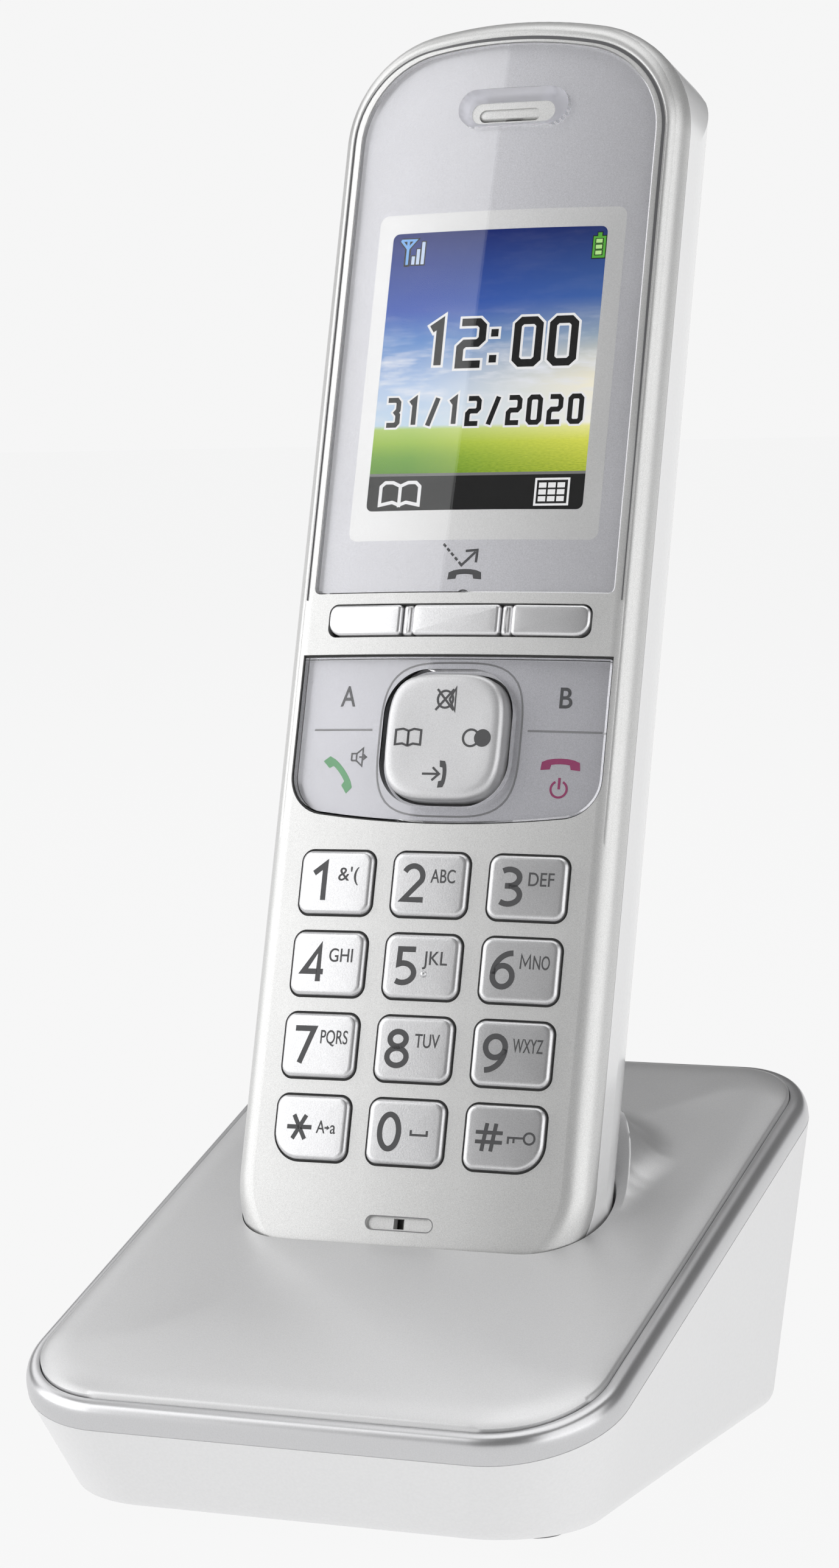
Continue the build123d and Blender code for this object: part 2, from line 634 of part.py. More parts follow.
for name, x in (("base_contact_left", -CONTACT_ACROSS), ("base_contact_right", CONTACT_ACROSS)):
    across = (x - 1.9, x + 1.9)
    tip = block(across, (BOTTOM_END - 7.0, BOTTOM_END - 0.3), (-CONTACT_DEPTH - 0.3, -CONTACT_DEPTH + 0.3))
    save_handset(name, tip)

base_board = Pos(0, -3) * Rectangle(45, 66)
save("base_circuit_board", slab(base_board, *BOARD_Z))
save("base_radio_shield", block((-20, 2), (-28, -14), (BOARD_Z[1], 9.4)))
antenna = block((8, 22), (-30, -28.8), (BOARD_Z[1], 13)) + block((8, 22), (-30, -22), (13, 13.6))
save("base_antenna", antenna)

line_jack = block((-JACK_X - 6.6, -JACK_X + 6.6), (JACK_FACE - 12.6, JACK_FACE), (BOARD_Z[1], BOARD_Z[1] + 12))
line_jack -= block((-JACK_X - 3.4, -JACK_X + 3.4), (JACK_FACE - 9.6, 45), (JACK_Z - 3.2, JACK_Z + 3.2))
save("line_jack", line_jack)
dc_jack = block((JACK_X - 4.6, JACK_X + 4.6), (JACK_FACE - 13.6, JACK_FACE), (BOARD_Z[1], BOARD_Z[1] + 10.8))
dc_jack -= Pos(JACK_X, JACK_FACE, JACK_Z) * Rot(90, 0, 0) * Cylinder(3.0, 19)
dc_jack += Pos(JACK_X, JACK_FACE - 5.2, JACK_Z) * Rot(90, 0, 0) * Cylinder(1.0, 9.5)
save("dc_jack", dc_jack)

wall_face = base_wall_y(BUTTON_Z)
cap = Pos(0, wall_face - 1.2, BUTTON_Z) * Rot(90, 0, 0) * Cylinder(BUTTON_RADIUS, 3.6)
cap = fillet(cap.edges().sort_by(Axis.Y)[-1:], 0.5)
cap += Pos(0, wall_face - 3.4, BUTTON_Z) * Rot(90, 0, 0) * Cylinder(BUTTON_RADIUS + 1.0, 0.8)
save("locator_button", cap)
switch_back = wall_face - 8.6
save("locator_board", block((-9, 9), (switch_back - 1.6, switch_back), (19.5, 31)))
switch = block((-3, 3), (switch_back, switch_back + 3.0), (BUTTON_Z - 3, BUTTON_Z + 3))
save("locator_switch", switch + Pos(0, switch_back + 3.4, BUTTON_Z) * Rot(90, 0, 0) * Cylinder(1.5, 0.8))

feet = [Pos(x, y) * slab(Circle(FOOT_RADIUS), 0, FOOT_HIGH + 0.4) for x, y in FEET]
save("base_feet", Compound(children=[foot.solid() for foot in feet]))
screws = []
for x, y in POSTS:
    screw = slab(Circle(2.3), SCREW_SEAT - 1.8, SCREW_SEAT) + slab(Circle(1.3), SCREW_SEAT, slope_height(y) + 3.5)
    screws.append((Pos(x, y) * screw).solid())
save("base_screws", Compound(children=screws))
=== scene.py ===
"""Cordless handset standing in its charging base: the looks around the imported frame.

Lengths are millimetres until a mesh is written, which is in metres. Points on the handset are
(u, v, w): across its face, along it towards the earpiece, and out of the face, from the middle
of the "5" key. Points on the base's slope are (x, s, h): across, up the slope, square to it.
"""
import json
import math

import bmesh
import bpy
from mathutils import Matrix, Vector, kdtree


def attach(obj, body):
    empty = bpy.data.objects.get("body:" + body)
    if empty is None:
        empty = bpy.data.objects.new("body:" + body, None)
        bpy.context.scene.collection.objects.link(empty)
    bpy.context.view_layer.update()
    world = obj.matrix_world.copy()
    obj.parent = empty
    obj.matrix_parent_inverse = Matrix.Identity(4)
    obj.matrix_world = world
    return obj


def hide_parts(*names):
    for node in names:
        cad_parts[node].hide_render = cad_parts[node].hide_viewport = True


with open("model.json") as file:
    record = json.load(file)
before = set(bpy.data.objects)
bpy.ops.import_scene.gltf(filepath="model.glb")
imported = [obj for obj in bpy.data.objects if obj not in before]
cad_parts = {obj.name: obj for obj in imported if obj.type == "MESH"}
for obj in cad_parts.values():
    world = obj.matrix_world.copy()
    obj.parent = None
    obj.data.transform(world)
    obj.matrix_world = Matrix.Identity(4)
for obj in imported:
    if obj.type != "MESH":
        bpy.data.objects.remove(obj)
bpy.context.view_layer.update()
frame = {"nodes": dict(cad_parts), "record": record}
nodes = frame["nodes"]
MM = 0.001

# ---------------------------------------------------------------- axes shared with the CAD
LEAN = math.radians(16.6)
FACE_ORIGIN = Vector((0, -2.4, 57.6))
FACE_UP = Vector((0, math.sin(LEAN), math.cos(LEAN)))
FACE_OUT = Vector((0, -math.cos(LEAN), math.sin(LEAN)))
FACE_RADIUS = 205.0
SLOPE = math.radians(18.9)
RING_FRONT, RING_BACK, RING_HALF = -43.9, 38.6, 36.1
RING_HALF_LONG = (RING_BACK - RING_FRONT) / 2 / math.cos(SLOPE)
RING_MID = (RING_BACK + RING_FRONT) / 2
SLOPE_ORIGIN = Vector((0, RING_MID, 10.4 + (RING_MID - RING_FRONT) * math.tan(SLOPE)))
SLOPE_UP = Vector((0, math.cos(SLOPE), math.sin(SLOPE)))
SLOPE_OUT = Vector((0, -math.sin(SLOPE), math.cos(SLOPE)))
ACROSS = Vector((1, 0, 0))


def crown(u, proud=0.0):
    """How far the crowned face lies out at u across, for a surface that stands proud of it."""
    radius = FACE_RADIUS + proud
    return math.sqrt(radius * radius - u * u) - FACE_RADIUS


def clamp(share):
    """Keeps a share between nought and one."""
    return min(1.0, max(0.0, share))


def smooth(share):
    """Eases a share from nought to one, and clamps it."""
    share = clamp(share)
    return share * share * (3 - 2 * share)


def on_face(u, v, w):
    return FACE_ORIGIN + ACROSS * u + FACE_UP * v + FACE_OUT * w


def on_slope(x, s, h):
    return SLOPE_ORIGIN + ACROSS * x + SLOPE_UP * s + SLOPE_OUT * h


# ---------------------------------------------------------------- materials
MADE = {}
ROUGH_SPREAD = 0.05
BUMP_DEPTH = 0.00004


def new_material(name):
    mat = bpy.data.materials.new(name)
    mat.use_nodes = True
    MADE[name] = mat
    tree = mat.node_tree.nodes
    return mat, tree, tree["Principled BSDF"]


def link(source, socket):
    """Joins an output to an input of the same node tree."""
    socket.id_data.links.new(source, socket)


def set_sockets(node, values):
    """Sets input values by socket name."""
    for socket, value in values.items():
        node.inputs[socket].default_value = value


def add_noise(tree, scale, detail=2.0):
    """Noise in object coordinates, so that the grain has a real size on every piece."""
    coords = tree.new("ShaderNodeTexCoord")
    noise = tree.new("ShaderNodeTexNoise")
    set_sockets(noise, {"Scale": scale, "Detail": detail})
    link(coords.outputs["Object"], noise.inputs["Vector"])
    return noise


def add_ramp(tree, source, stops):
    ramp = tree.new("ShaderNodeValToRGB")
    band = ramp.color_ramp
    while len(band.elements) < len(stops):
        band.elements.new(0.5)
    for element, (place, colour) in zip(band.elements, stops):
        element.position = place
        element.color = (*colour, 1)
    link(source, ramp.inputs["Fac"])
    return ramp


def shade(colour, factor):
    return tuple(min(1.0, c * factor) for c in colour)


def moulded(
    name, colour, rough=0.4, metallic=0.0, grain=0.06, grain_scale=7000, bump=0.0, bump_scale=2500, coat=0.0
):
    """Moulded or painted plastic: fine flakes in the colour, uneven gloss and a light texture."""
    mat, tree, shader = new_material(name)
    flakes = add_noise(tree, grain_scale, 3)
    ramp = add_ramp(
        tree, flakes.outputs["Fac"],
        [(0.30, shade(colour, 1 - grain)), (0.5, colour), (0.72, shade(colour, 1 + grain))],
    )
    link(ramp.outputs["Color"], shader.inputs["Base Color"])
    patches = add_noise(tree, 90, 2)
    spread = tree.new("ShaderNodeMapRange")
    set_sockets(spread, {"To Min": rough - ROUGH_SPREAD, "To Max": rough + ROUGH_SPREAD})
    link(patches.outputs["Fac"], spread.inputs["Value"])
    link(spread.outputs["Result"], shader.inputs["Roughness"])
    set_sockets(shader, {"Metallic": metallic, "Coat Weight": coat, "Coat Roughness": 0.12})
    if bump:
        fine = add_noise(tree, bump_scale, 2)
        height = tree.new("ShaderNodeBump")
        set_sockets(height, {"Strength": bump, "Distance": BUMP_DEPTH})
        link(fine.outputs["Fac"], height.inputs["Height"])
        link(height.outputs["Normal"], shader.inputs["Normal"])
    return mat


def clear_plastic(name, colour, rough):
    """Clear acrylic that lets the lamps reach what is printed behind it."""
    mat, tree, shader = new_material(name)
    set_sockets(
        shader, {"Base Color": (*colour, 1), "Roughness": rough, "IOR": 1.34, "Transmission Weight": 1.0}
    )
    clear = tree.new("ShaderNodeBsdfTransparent")
    path = tree.new("ShaderNodeLightPath")
    mix = tree.new("ShaderNodeMixShader")
    link(path.outputs["Is Shadow Ray"], mix.inputs[0])
    link(shader.outputs["BSDF"], mix.inputs[1])
    link(clear.outputs["BSDF"], mix.inputs[2])
    link(mix.outputs["Shader"], tree["Material Output"].inputs["Surface"])
    return mat


# name, colour, roughness, metallic, strength and scale of the grain, strength and scale of the bumps, coat
silver_front = moulded("front_silver", (0.66, 0.66, 0.655), 0.40, 0.66, 0.12, 9000, 0.25, 5200)
silver_key = moulded("dial_key_silver", (0.66, 0.66, 0.67), 0.33, 0.88, 0.12, 9000, 0.2, 5200)
silver_nav = moulded("navigator_silver", (0.62, 0.62, 0.63), 0.40, 0.66, 0.10, 9000, 0.15, 5200)
silver_soft = moulded("soft_key_silver", (0.72, 0.72, 0.73), 0.32, 0.88, 0.10, 9000, 0.15, 5200)
silver_cover = moulded("cover_silver", (0.68, 0.68, 0.685), 0.40, 0.72, 0.05, 7000, 0.2, 4200)
silver_ring = moulded("ring_silver", (0.62, 0.62, 0.63), 0.30, 0.85, 0.04, 7000)
silver_print = moulded("window_print", (0.56, 0.56, 0.58), 0.42, 0.62, 0.12, 8000, 0.2, 6000)
bezel_print = moulded("bezel_print", (0.66, 0.66, 0.65), 0.40, 0.70, 0.08, 8000, 0.2, 6000)
plate_print = moulded("plate_print", (0.51, 0.51, 0.535), 0.42, 0.65, 0.12, 8000, 0.2, 6000)
moulded("body_white", (0.80, 0.80, 0.805), 0.42, 0.0, 0.02, 3000, 0.35, 1900)
moulded("shell_white", (0.84, 0.84, 0.845), 0.22, 0.0, 0.015, 2500, 0.0, 0, 0.5)
legend_grey = moulded("legend_grey", (0.062, 0.062, 0.065), 0.5, 0.0, 0.05, 6000)
legend_green = moulded("legend_green", (0.10, 0.36, 0.14), 0.5, 0.0, 0.05, 6000)
legend_red = moulded("legend_red", (0.28, 0.030, 0.115), 0.5, 0.0, 0.05, 6000)
# painted shade: a near-black sheet put down in gaps and slits, where only shade falls
painted_gap_shade = moulded("painted_gap_shade", (0.03, 0.03, 0.03), 0.6, 0.0, 0.1, 3000)
# painted shade: grey lines that stand for the shade at a recess's edge and along ridges
painted_line_shade = moulded("line_shade_grey", (0.22, 0.22, 0.225), 0.5, 0.0, 0.05, 6000)
# painted shade: a dark sheet for the rim's shaded inner wall
painted_rim_shade = moulded("painted_rim_shade", (0.115, 0.115, 0.12), 0.42, 0.3, 0.05, 6000)
clear_window = clear_plastic("clear_window", (0.97, 0.97, 0.98), 0.01)
clear_plastic("clear_plate", (0.97, 0.97, 0.98), 0.02)
moulded("rubber_grey", (0.16, 0.16, 0.165), 0.75, 0.0, 0.08, 2500, 0.3, 1500)
moulded("board_green", (0.02, 0.14, 0.05), 0.4, 0.0, 0.25, 700, 0.1, 900, 0.3)
moulded("tin_plate", (0.62, 0.62, 0.60), 0.3, 1.0, 0.05, 1500, 0.1, 1200)
moulded("contact_metal", (0.75, 0.55, 0.26), 0.24, 1.0, 0.05, 1500)
moulded("jack_black", (0.02, 0.02, 0.02), 0.45, 0.0, 0.2, 2500, 0.3, 1500)
moulded("button_grey", (0.28, 0.29, 0.31), 0.4, 0.0, 0.05, 3000, 0.2, 2000)
moulded("inner_grey", (0.16, 0.16, 0.165), 0.5, 0.0, 0.06, 3000, 0.2, 2000)
moulded("cell_can", (0.10, 0.35, 0.16), 0.3, 0.2, 0.06, 1200)
moulded("key_film", (0.72, 0.72, 0.74), 0.4, 0.0, 0.04, 2500)

# the other slots take the material of their own name
STAND_INS = {"screen": "jack_black", "backlight_white": "key_film", "earpiece_silver": "front_silver"}
for part in frame["record"]["subparts"]:
    wanted = part["material_slot"]
    mesh = nodes[part["node"]].data
    mesh.materials.clear()
    mesh.materials.append(MADE[STAND_INS.get(wanted, wanted)])


# ---------------------------------------------------------------- making pieces
def put_in_scene(name, data):
    """A new object that holds the data."""
    thing = bpy.data.objects.new(name, data)
    bpy.context.scene.collection.objects.link(thing)
    return thing


def write_piece(name, bm, material, body, slot, sharp=35.0, place=on_face):
    """Writes a bmesh drawn in millimetres as a piece in the shared frame."""
    for vert in bm.verts:
        vert.co = place(*vert.co) * MM
    bmesh.ops.recalc_face_normals(bm, faces=bm.faces)
    mesh = bpy.data.meshes.new(name)
    bm.to_mesh(mesh)
    bm.free()
    mesh.shade_smooth()
    mesh.set_sharp_from_angle(angle=math.radians(sharp))
    mesh.materials.append(material)
    piece = put_in_scene(name, mesh)
    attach(piece, body)
    return piece


def fill_rings(bm, rings, capped=True):
    """Joins rings of points, all of one length, into a skin that is open or closed at its ends."""
    rows = [[bm.verts.new(point) for point in ring] for ring in rings]
    count = len(rows[0])
    for row, other in zip(rows, rows[1:]):
        for i in range(count):
            j = (i + 1) % count
            bm.faces.new((row[i], row[j], other[j], other[i]))
    if capped:
        bm.faces.new(rows[0])
        bm.faces.new(rows[-1])
    return rows


def hoop(name, rings, material, body, slot, sharp=50, place=on_face):
    """A closed skin with a hole through it: the last ring joins the first."""
    bm = bmesh.new()
    fill_rings(bm, rings + rings[:1], False)
    bmesh.ops.remove_doubles(bm, verts=bm.verts, dist=1e-4)
    return write_piece(name, bm, material, body, slot, sharp, place)


def rounded_points(half_x, half_y, corners, steps=10, middle=(0, 0)):
    """Points round a rounded oblong. Corner radii start at the upper right and go round left."""
    points = []
    for k, (sign_x, sign_y) in enumerate(((1, 1), (-1, 1), (-1, -1), (1, -1))):
        radius = max(corners[k], 0.01)
        cx, cy = sign_x * (half_x - radius), sign_y * (half_y - radius)
        for i in range(steps + 1):
            angle = math.radians(90 * k + 90 * i / steps)
            x, y = cx + radius * math.cos(angle), cy + radius * math.sin(angle)
            points.append((middle[0] + x, middle[1] + y))
    return points


def flattened(curve):
    """The flat mesh of a filled curve or of text."""
    holder = put_in_scene(curve.name, curve)
    bpy.context.view_layer.update()
    flat = bpy.data.meshes.new_from_object(holder.evaluated_get(bpy.context.evaluated_depsgraph_get()))
    bpy.data.objects.remove(holder)
    bpy.data.curves.remove(curve)
    return flat


def thicken(bm, thickness):
    """Extrudes a flat drawing downwards."""
    bmesh.ops.recalc_face_normals(bm, faces=bm.faces)
    made = bmesh.ops.extrude_face_region(bm, geom=bm.faces[:], use_keep_orig=True)
    for item in made["geom"]:
        if isinstance(item, bmesh.types.BMVert):
            item.co.z -= thickness


def crowned_plate(name, rings, thickness, top, material, body="handset", slot="inner_grey"):
    """A thin plate that follows the crowned face, from flat outlines (the first is its edge)."""
    curve = bpy.data.curves.new(name + "_flat", "CURVE")
    curve.dimensions = "2D"
    curve.fill_mode = "BOTH"
    for ring in rings:
        spline = curve.splines.new("POLY")
        spline.points.add(len(ring) - 1)
        for point, (u, v) in zip(spline.points, ring):
            point.co = (u, v, 0, 1)
        spline.use_cyclic_u = True
    flat = flattened(curve)
    bm = bmesh.new()
    bm.from_mesh(flat)
    bpy.data.meshes.remove(flat)
    bmesh.ops.remove_doubles(bm, verts=bm.verts, dist=1e-4)
    return raise_flat(name, bm, thickness, top, material, body, slot)


STRIP = 1.2


def raise_flat(name, bm, thickness, top, material, body="handset", slot="inner_grey"):
    """Cuts a flat drawing into strips, gives it thickness and bends it to the crowned face."""
    bmesh.ops.recalc_face_normals(bm, faces=bm.faces)
    bmesh.ops.triangulate(bm, faces=bm.faces[:])
    reach = max(abs(v.co.x) for v in bm.verts)
    cut = -reach + STRIP
    while cut < reach:
        everything = bm.verts[:] + bm.edges[:] + bm.faces[:]
        bmesh.ops.bisect_plane(bm, geom=everything, plane_co=(cut, 0, 0), plane_no=(1, 0, 0))
        cut += STRIP
    thicken(bm, thickness)
    for vert in bm.verts:
        vert.co.z += crown(vert.co.x, top)
    return write_piece(name, bm, material, body, slot, 40)


# ---------------------------------------------------------------- drawn strokes and glyphs
def arc(cx, cy, rx, ry, start, end, steps=14):
    """Points along part of an ellipse, from one angle to another in degrees."""
    turn = [math.radians(start + (end - start) * i / steps) for i in range(steps + 1)]
    return [(cx + rx * math.cos(t), cy + ry * math.sin(t)) for t in turn]


def stroke_faces(bm, points, width, closed=False):
    """A ribbon of even width along points, with mitred corners and square ends."""
    pts = [Vector(p) for p in points]
    count = len(pts)
    sides = []
    for i in range(count):
        before = pts[i - 1] if closed or i else None
        after = pts[(i + 1) % count] if closed or i < count - 1 else None
        into = (pts[i] - before).normalized() if before else (after - pts[i]).normalized()
        out = (after - pts[i]).normalized() if after else into
        normal = Vector((-into.y - out.y, into.x + out.x))
        if normal.length < 1e-6:
            normal = Vector((-into.y, into.x))
        normal.normalize()
        reach = width / 2 / max(0.45, normal.dot(Vector((-into.y, into.x))))
        sides.append((pts[i] + normal * reach, pts[i] - normal * reach))
    verts = [(bm.verts.new((*a, 0)), bm.verts.new((*b, 0))) for a, b in sides]
    for i in range(count if closed else count - 1):
        j = (i + 1) % count
        bm.faces.new((verts[i][0], verts[i][1], verts[j][1], verts[j][0]))


def draw(bm, strokes, u=0.0, v=0.0):
    """Strokes as (width, points), with a third value where they close, about the point (u, v)."""
    for width, points, *closed in strokes:
        stroke_faces(bm, [(u + x, v + y) for x, y in points], width, bool(closed))


def circle(cx, cy, radius, steps=24):
    return arc(cx, cy, radius, radius, 0, 360, steps)[:-1]


def polygon_face(bm, points):
    bm.faces.new([bm.verts.new((x, y, 0)) for x, y in points])


CAP_SHARE = 0.70    # height of a capital in Blender's own font, for a size of one


def letters(bm, text, left, low, height, widen=1.0, bold=0.0, right=None):
    """Plain capitals to a cap height, from left and optionally to right."""
    curve = bpy.data.curves.new("letters", "FONT")
    curve.body = text
    curve.size = height / CAP_SHARE
    curve.offset = bold
    curve.resolution_u = 6
    flat = flattened(curve)
    xs = [v.co.x for v in flat.vertices]
    start = min(xs)
    if right is not None:
        widen = (right - left) / (max(xs) - start)
    for vert in flat.vertices:
        vert.co = ((vert.co.x - start) * widen + left, vert.co.y + low, 0)
    bm.from_mesh(flat)
    bpy.data.meshes.remove(flat)


# Dialling digits in a box one wide and one high, as strokes
DIGIT_STROKES = {
    "1": [[(0.16, 0.74), (0.66, 0.985), (0.66, 0.0)]],
    "2": [arc(0.47, 0.715, 0.42, 0.275, 155, -28, 16) + [(0.10, 0.07), (0.98, 0.07)]],
    "3": [
        arc(0.42, 0.755, 0.44, 0.225, 130, -90, 14),
        arc(0.42, 0.285, 0.50, 0.245, 90, -130, 16),
        [(0.26, 0.53), (0.44, 0.53)],
    ],
    "4": [[(0.80, 0.0), (0.80, 0.94), (0.10, 0.27), (1.02, 0.27)]],
    "5": [[(0.90, 0.955), (0.22, 0.955), (0.20, 0.545)] + arc(0.40, 0.31, 0.50, 0.265, 100, -125, 18)],
    "6": [
        arc(0.50, 0.33, 0.42, 0.285, 0, 360, 26)[:-1],
        arc(0.92, 0.36, 0.84, 0.60, 92, 178, 12),
    ],
    "7": [[(0.04, 0.945), (0.90, 0.945), (0.34, 0.0)]],
    "8": [arc(0.5, 0.755, 0.36, 0.20, 0, 360, 26)[:-1], arc(0.5, 0.275, 0.43, 0.235, 0, 360, 26)[:-1]],
    "9": [
        arc(0.50, 0.67, 0.42, 0.285, 0, 360, 26)[:-1],
        arc(0.08, 0.64, 0.84, 0.60, -88, -2, 12),
    ],
    "0": [arc(0.5, 0.5, 0.42, 0.46, 0, 360, 36)[:-1]],
}
CLOSED_STROKES = {("6", 0), ("8", 0), ("8", 1), ("9", 0), ("0", 0)}

# Screen digits, squared, in the same kind of box
SCREEN_STROKES = {
    "0": ([(0.2, 0), (0.8, 0), (1, 0.1), (1, 0.9), (0.8, 1), (0.2, 1), (0, 0.9), (0, 0.1)], True),
    "1": ([(0.22, 0.86), (0.62, 1.0), (0.62, 0)], False),
    "2": ([(0, 1), (0.8, 1), (1, 0.9), (1, 0.6), (0.8, 0.5), (0.2, 0.5), (0, 0.4), (0, 0), (1, 0)], False),
    "3": ([(0, 1), (0.8, 1), (1, 0.9), (1, 0.6), (0.8, 0.5), (1, 0.4), (1, 0.1), (0.8, 0), (0, 0)], False),
    "/": ([(0.1, -0.05), (0.9, 1.05)], False),
}
PITCH_ACROSS, PITCH_ALONG = 12.21, 9.72
KEY_PROUD = 0.55
DIGIT_BOX = (-3.38, -2.18, 2.86, 4.34)
DIGIT_STROKE = 0.66


def scaled(points, left, low, width, height):
    return [(left + x * width, low + y * height) for x, y in points]


# column, row, digit, letters, and where the letters start and end from the key's middle
KEYS = {
    "key_1": (-1, 1, "1", "&'(", 0.33, 3.05),
    "key_2": (0, 1, "2", "ABC", 0.2, 3.3),
    "key_3": (1, 1, "3", "DEF", 0.2, 3.3),
    "key_4": (-1, 0, "4", "GHI", 0.2, 3.3),
    "key_5": (0, 0, "5", "JKL", 0.2, 3.3),
    "key_6": (1, 0, "6", "NO", 1.68, 3.7),
    "key_7": (-1, -1, "7", "PQRS", 0.15, 3.72),
    "key_8": (0, -1, "8", "TUV", 0.2, 3.3),
    "key_9": (1, -1, "9", "WXYZ", 0.15, 3.8),
    "key_star": (-1, -2, "*", None, 0, 0),
    "key_0": (0, -2, "0", None, 0, 0),
    "key_hash": (1, -2, "#", None, 0, 0),
}


def domed_cap(name, outline, levels, proud, material, body, slot, dish=0.0):
    """A key cap lofted through levels of (inset, height), and closed over its top."""
    bm = bmesh.new()
    rings = [[(u, v, crown(u, proud + height)) for u, v in outline(inset)] for inset, height in levels]
    rows = fill_rings(bm, rings, False)
    bm.faces.new(rows[0])
    # the top is closed by shrinking rings, so that it can be dished
    last, previous, count = rings[-1], rows[-1], len(rings[-1])
    middle = (sum(p[0] for p in last) / count, sum(p[1] for p in last) / count)
    for share in (0.8, 0.6, 0.4, 0.2):
        row = []
        for u, v, _ in last:
            x = middle[0] + (u - middle[0]) * share
            y = middle[1] + (v - middle[1]) * share
            row.append(bm.verts.new((x, y, crown(x, proud + levels[-1][1] - dish * (1 - share * share)))))
        for i in range(count):
            j = (i + 1) % count
            bm.faces.new((previous[i], previous[j], row[j], row[i]))
        previous = row
    tip = bm.verts.new((*middle, crown(middle[0], proud + levels[-1][1] - dish)))
    for i in range(count):
        bm.faces.new((previous[i], previous[(i + 1) % count], tip))
    bmesh.ops.remove_doubles(bm, verts=bm.verts, dist=1e-5)
    return write_piece(name, bm, material, body, slot, 50)


KEY_LEVELS = (
    (0, -3.0), (0, -0.45), (0.03, -0.30), (0.09, -0.19), (0.18, -0.10), (0.30, -0.035), (0.44, 0.0),
    (0.7, 0.005),
)
KEY_HOLE = (10.1, 8.1)
KEY_GAP, HOLE_CORNER, OUTER_CORNER = 0.28, 1.6, 3.6


def key_outline(name, middle, gap=KEY_GAP):
    corners = [HOLE_CORNER] * 4
    if name == "key_star":
        corners[2] = OUTER_CORNER
    if name == "key_hash":
        corners[3] = OUTER_CORNER

    def outline(inset):
        radii = [radius - gap - inset for radius in corners]
        return rounded_points(KEY_HOLE[0] / 2 - gap - inset, KEY_HOLE[1] / 2 - gap - inset, radii, 9, middle)

    return outline


# marks drawn in strokes: an M, because the font's closes up when it is narrow, and the bottom row's
KEY_MARKS = {
    "key_6": [(0.19, [(0.16, 0.2), (0.22, 1.82), (0.75, 0.62), (1.28, 1.82), (1.34, 0.2)])],
    "key_star": [(0.22, [(1.88, 0.02), (2.25, 0.02)])]
    + [(0.52, [(-1.48 - x, -y), (-1.48 + x, y)]) for x, y in arc(0, 0, 1.62, 1.62, 0, 120, 2)],
    "key_0": [(0.26, [(0.80, 0.30), (0.80, -0.26), (2.82, -0.26), (2.82, 0.30)])],
    "key_hash": [
        (0.46, [(-2.50, -1.62), (-2.05, 1.62)]), (0.46, [(-1.40, -1.62), (-0.95, 1.62)]),
        (0.44, [(-3.35, -0.55), (-0.08, -0.55)]), (0.44, [(-3.35, 0.55), (-0.08, 0.55)]),
        (0.24, circle(3.15, 0.1, 0.64), True), (0.24, [(2.45, 0.1), (0.62, 0.1), (0.62, -0.62)]),
        (0.24, [(1.30, 0.1), (1.30, -0.50)]),
    ],
}
INK = 0.03
SMALL_HIGH = 1.62
gap_shade_rings = []
for name, (column, row, digit, small, start, end) in KEYS.items():
    u, v = column * PITCH_ACROSS, row * PITCH_ALONG
    outline = key_outline(name, (u, v))
    cap = domed_cap(name + "_cap", outline, KEY_LEVELS, KEY_PROUD, silver_key, name, "dial_key_silver")
    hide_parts(name)
    gap_shade_rings += [key_outline(name, (u, v), 0.01)(0), outline(-0.01)]
    bm = bmesh.new()
    if digit in DIGIT_STROKES:
        left, low, width, height = DIGIT_BOX
        for k, points in enumerate(DIGIT_STROKES[digit]):
            pts = scaled(points, u + left, v + low, width, height)
            stroke_faces(bm, pts, DIGIT_STROKE, (digit, k) in CLOSED_STROKES)
    if small:
        letters(bm, small, u + start, v + 0.2, SMALL_HIGH, right=u + end, bold=0.010)
    if name == "key_star":
        letters(bm, "A", u + 0.78, v - 0.62, 1.50, 0.78, 0.01)
        letters(bm, "a", u + 2.62, v - 0.62, 1.50, 0.82, 0.01)
        polygon_face(bm, [(u + x, v + y) for x, y in ((2.18, -0.26), (2.56, 0.02), (2.18, 0.30))])
    draw(bm, KEY_MARKS.get(name, ()), u, v)
    raise_flat(name + "_legend", bm, 2 * INK, KEY_PROUD + INK, legend_grey, name)
# painted shade: a dark sheet down in the gaps round the dial keys
crowned_plate("dial_key_gap_shade", gap_shade_rings, 0.12, -0.25, painted_gap_shade)

# raised dot on the "5" key
DOT_LEVELS = ((0.42, -0.05), (0.40, 0.06), (0.33, 0.17), (0.22, 0.25), (0.1, 0.29))
bm = bmesh.new()
fill_rings(bm, [
    [(x, y, KEY_PROUD + z) for x, y in circle(0.43, -0.91, r)] for r, z in DOT_LEVELS
])
write_piece("key_5_dot", bm, silver_key, "key_5", "dial_key_silver", 60)


def handset_mark(bm, mid_u, mid_v, turn, size):
    """A telephone handset seen from the side, its back upwards, turned in degrees."""
    half = [(2.42, -0.70), (2.32, 0.26), (1.65, 0.54), (0.82, 0.68)]
    under = [(1.28, -0.60), (1.14, -0.06), (0.60, 0.02)]
    shape = half + [(0, 0.72)] + [(-x, y) for x, y in reversed(half)]
    shape += [(-x, y) for x, y in under] + [(0, 0.05)] + list(reversed(under))
    c, s = math.cos(math.radians(turn)), math.sin(math.radians(turn))
    polygon_face(bm, [(mid_u + size * (x * c - y * s), mid_v + size * (x * s + y * c)) for x, y in shape])


# ---------------------------------------------------------------- navigator key
NAV_MID, NAV_HALF_U, NAV_HALF_V, NAV_POWER = 27.4, 7.45, 7.65, 3.6
NAV_PROUD, NAV_DISH, NAV_RIM = 1.0, 0.12, 1.4
NAV_LEVELS = (
    (0, -3.0), (0, -0.95), (0.04, -0.62), (0.12, -0.38), (0.26, -0.20), (0.46, -0.08), (0.75, -0.02),
    (1.1, 0.0), (NAV_RIM, 0.0),
)


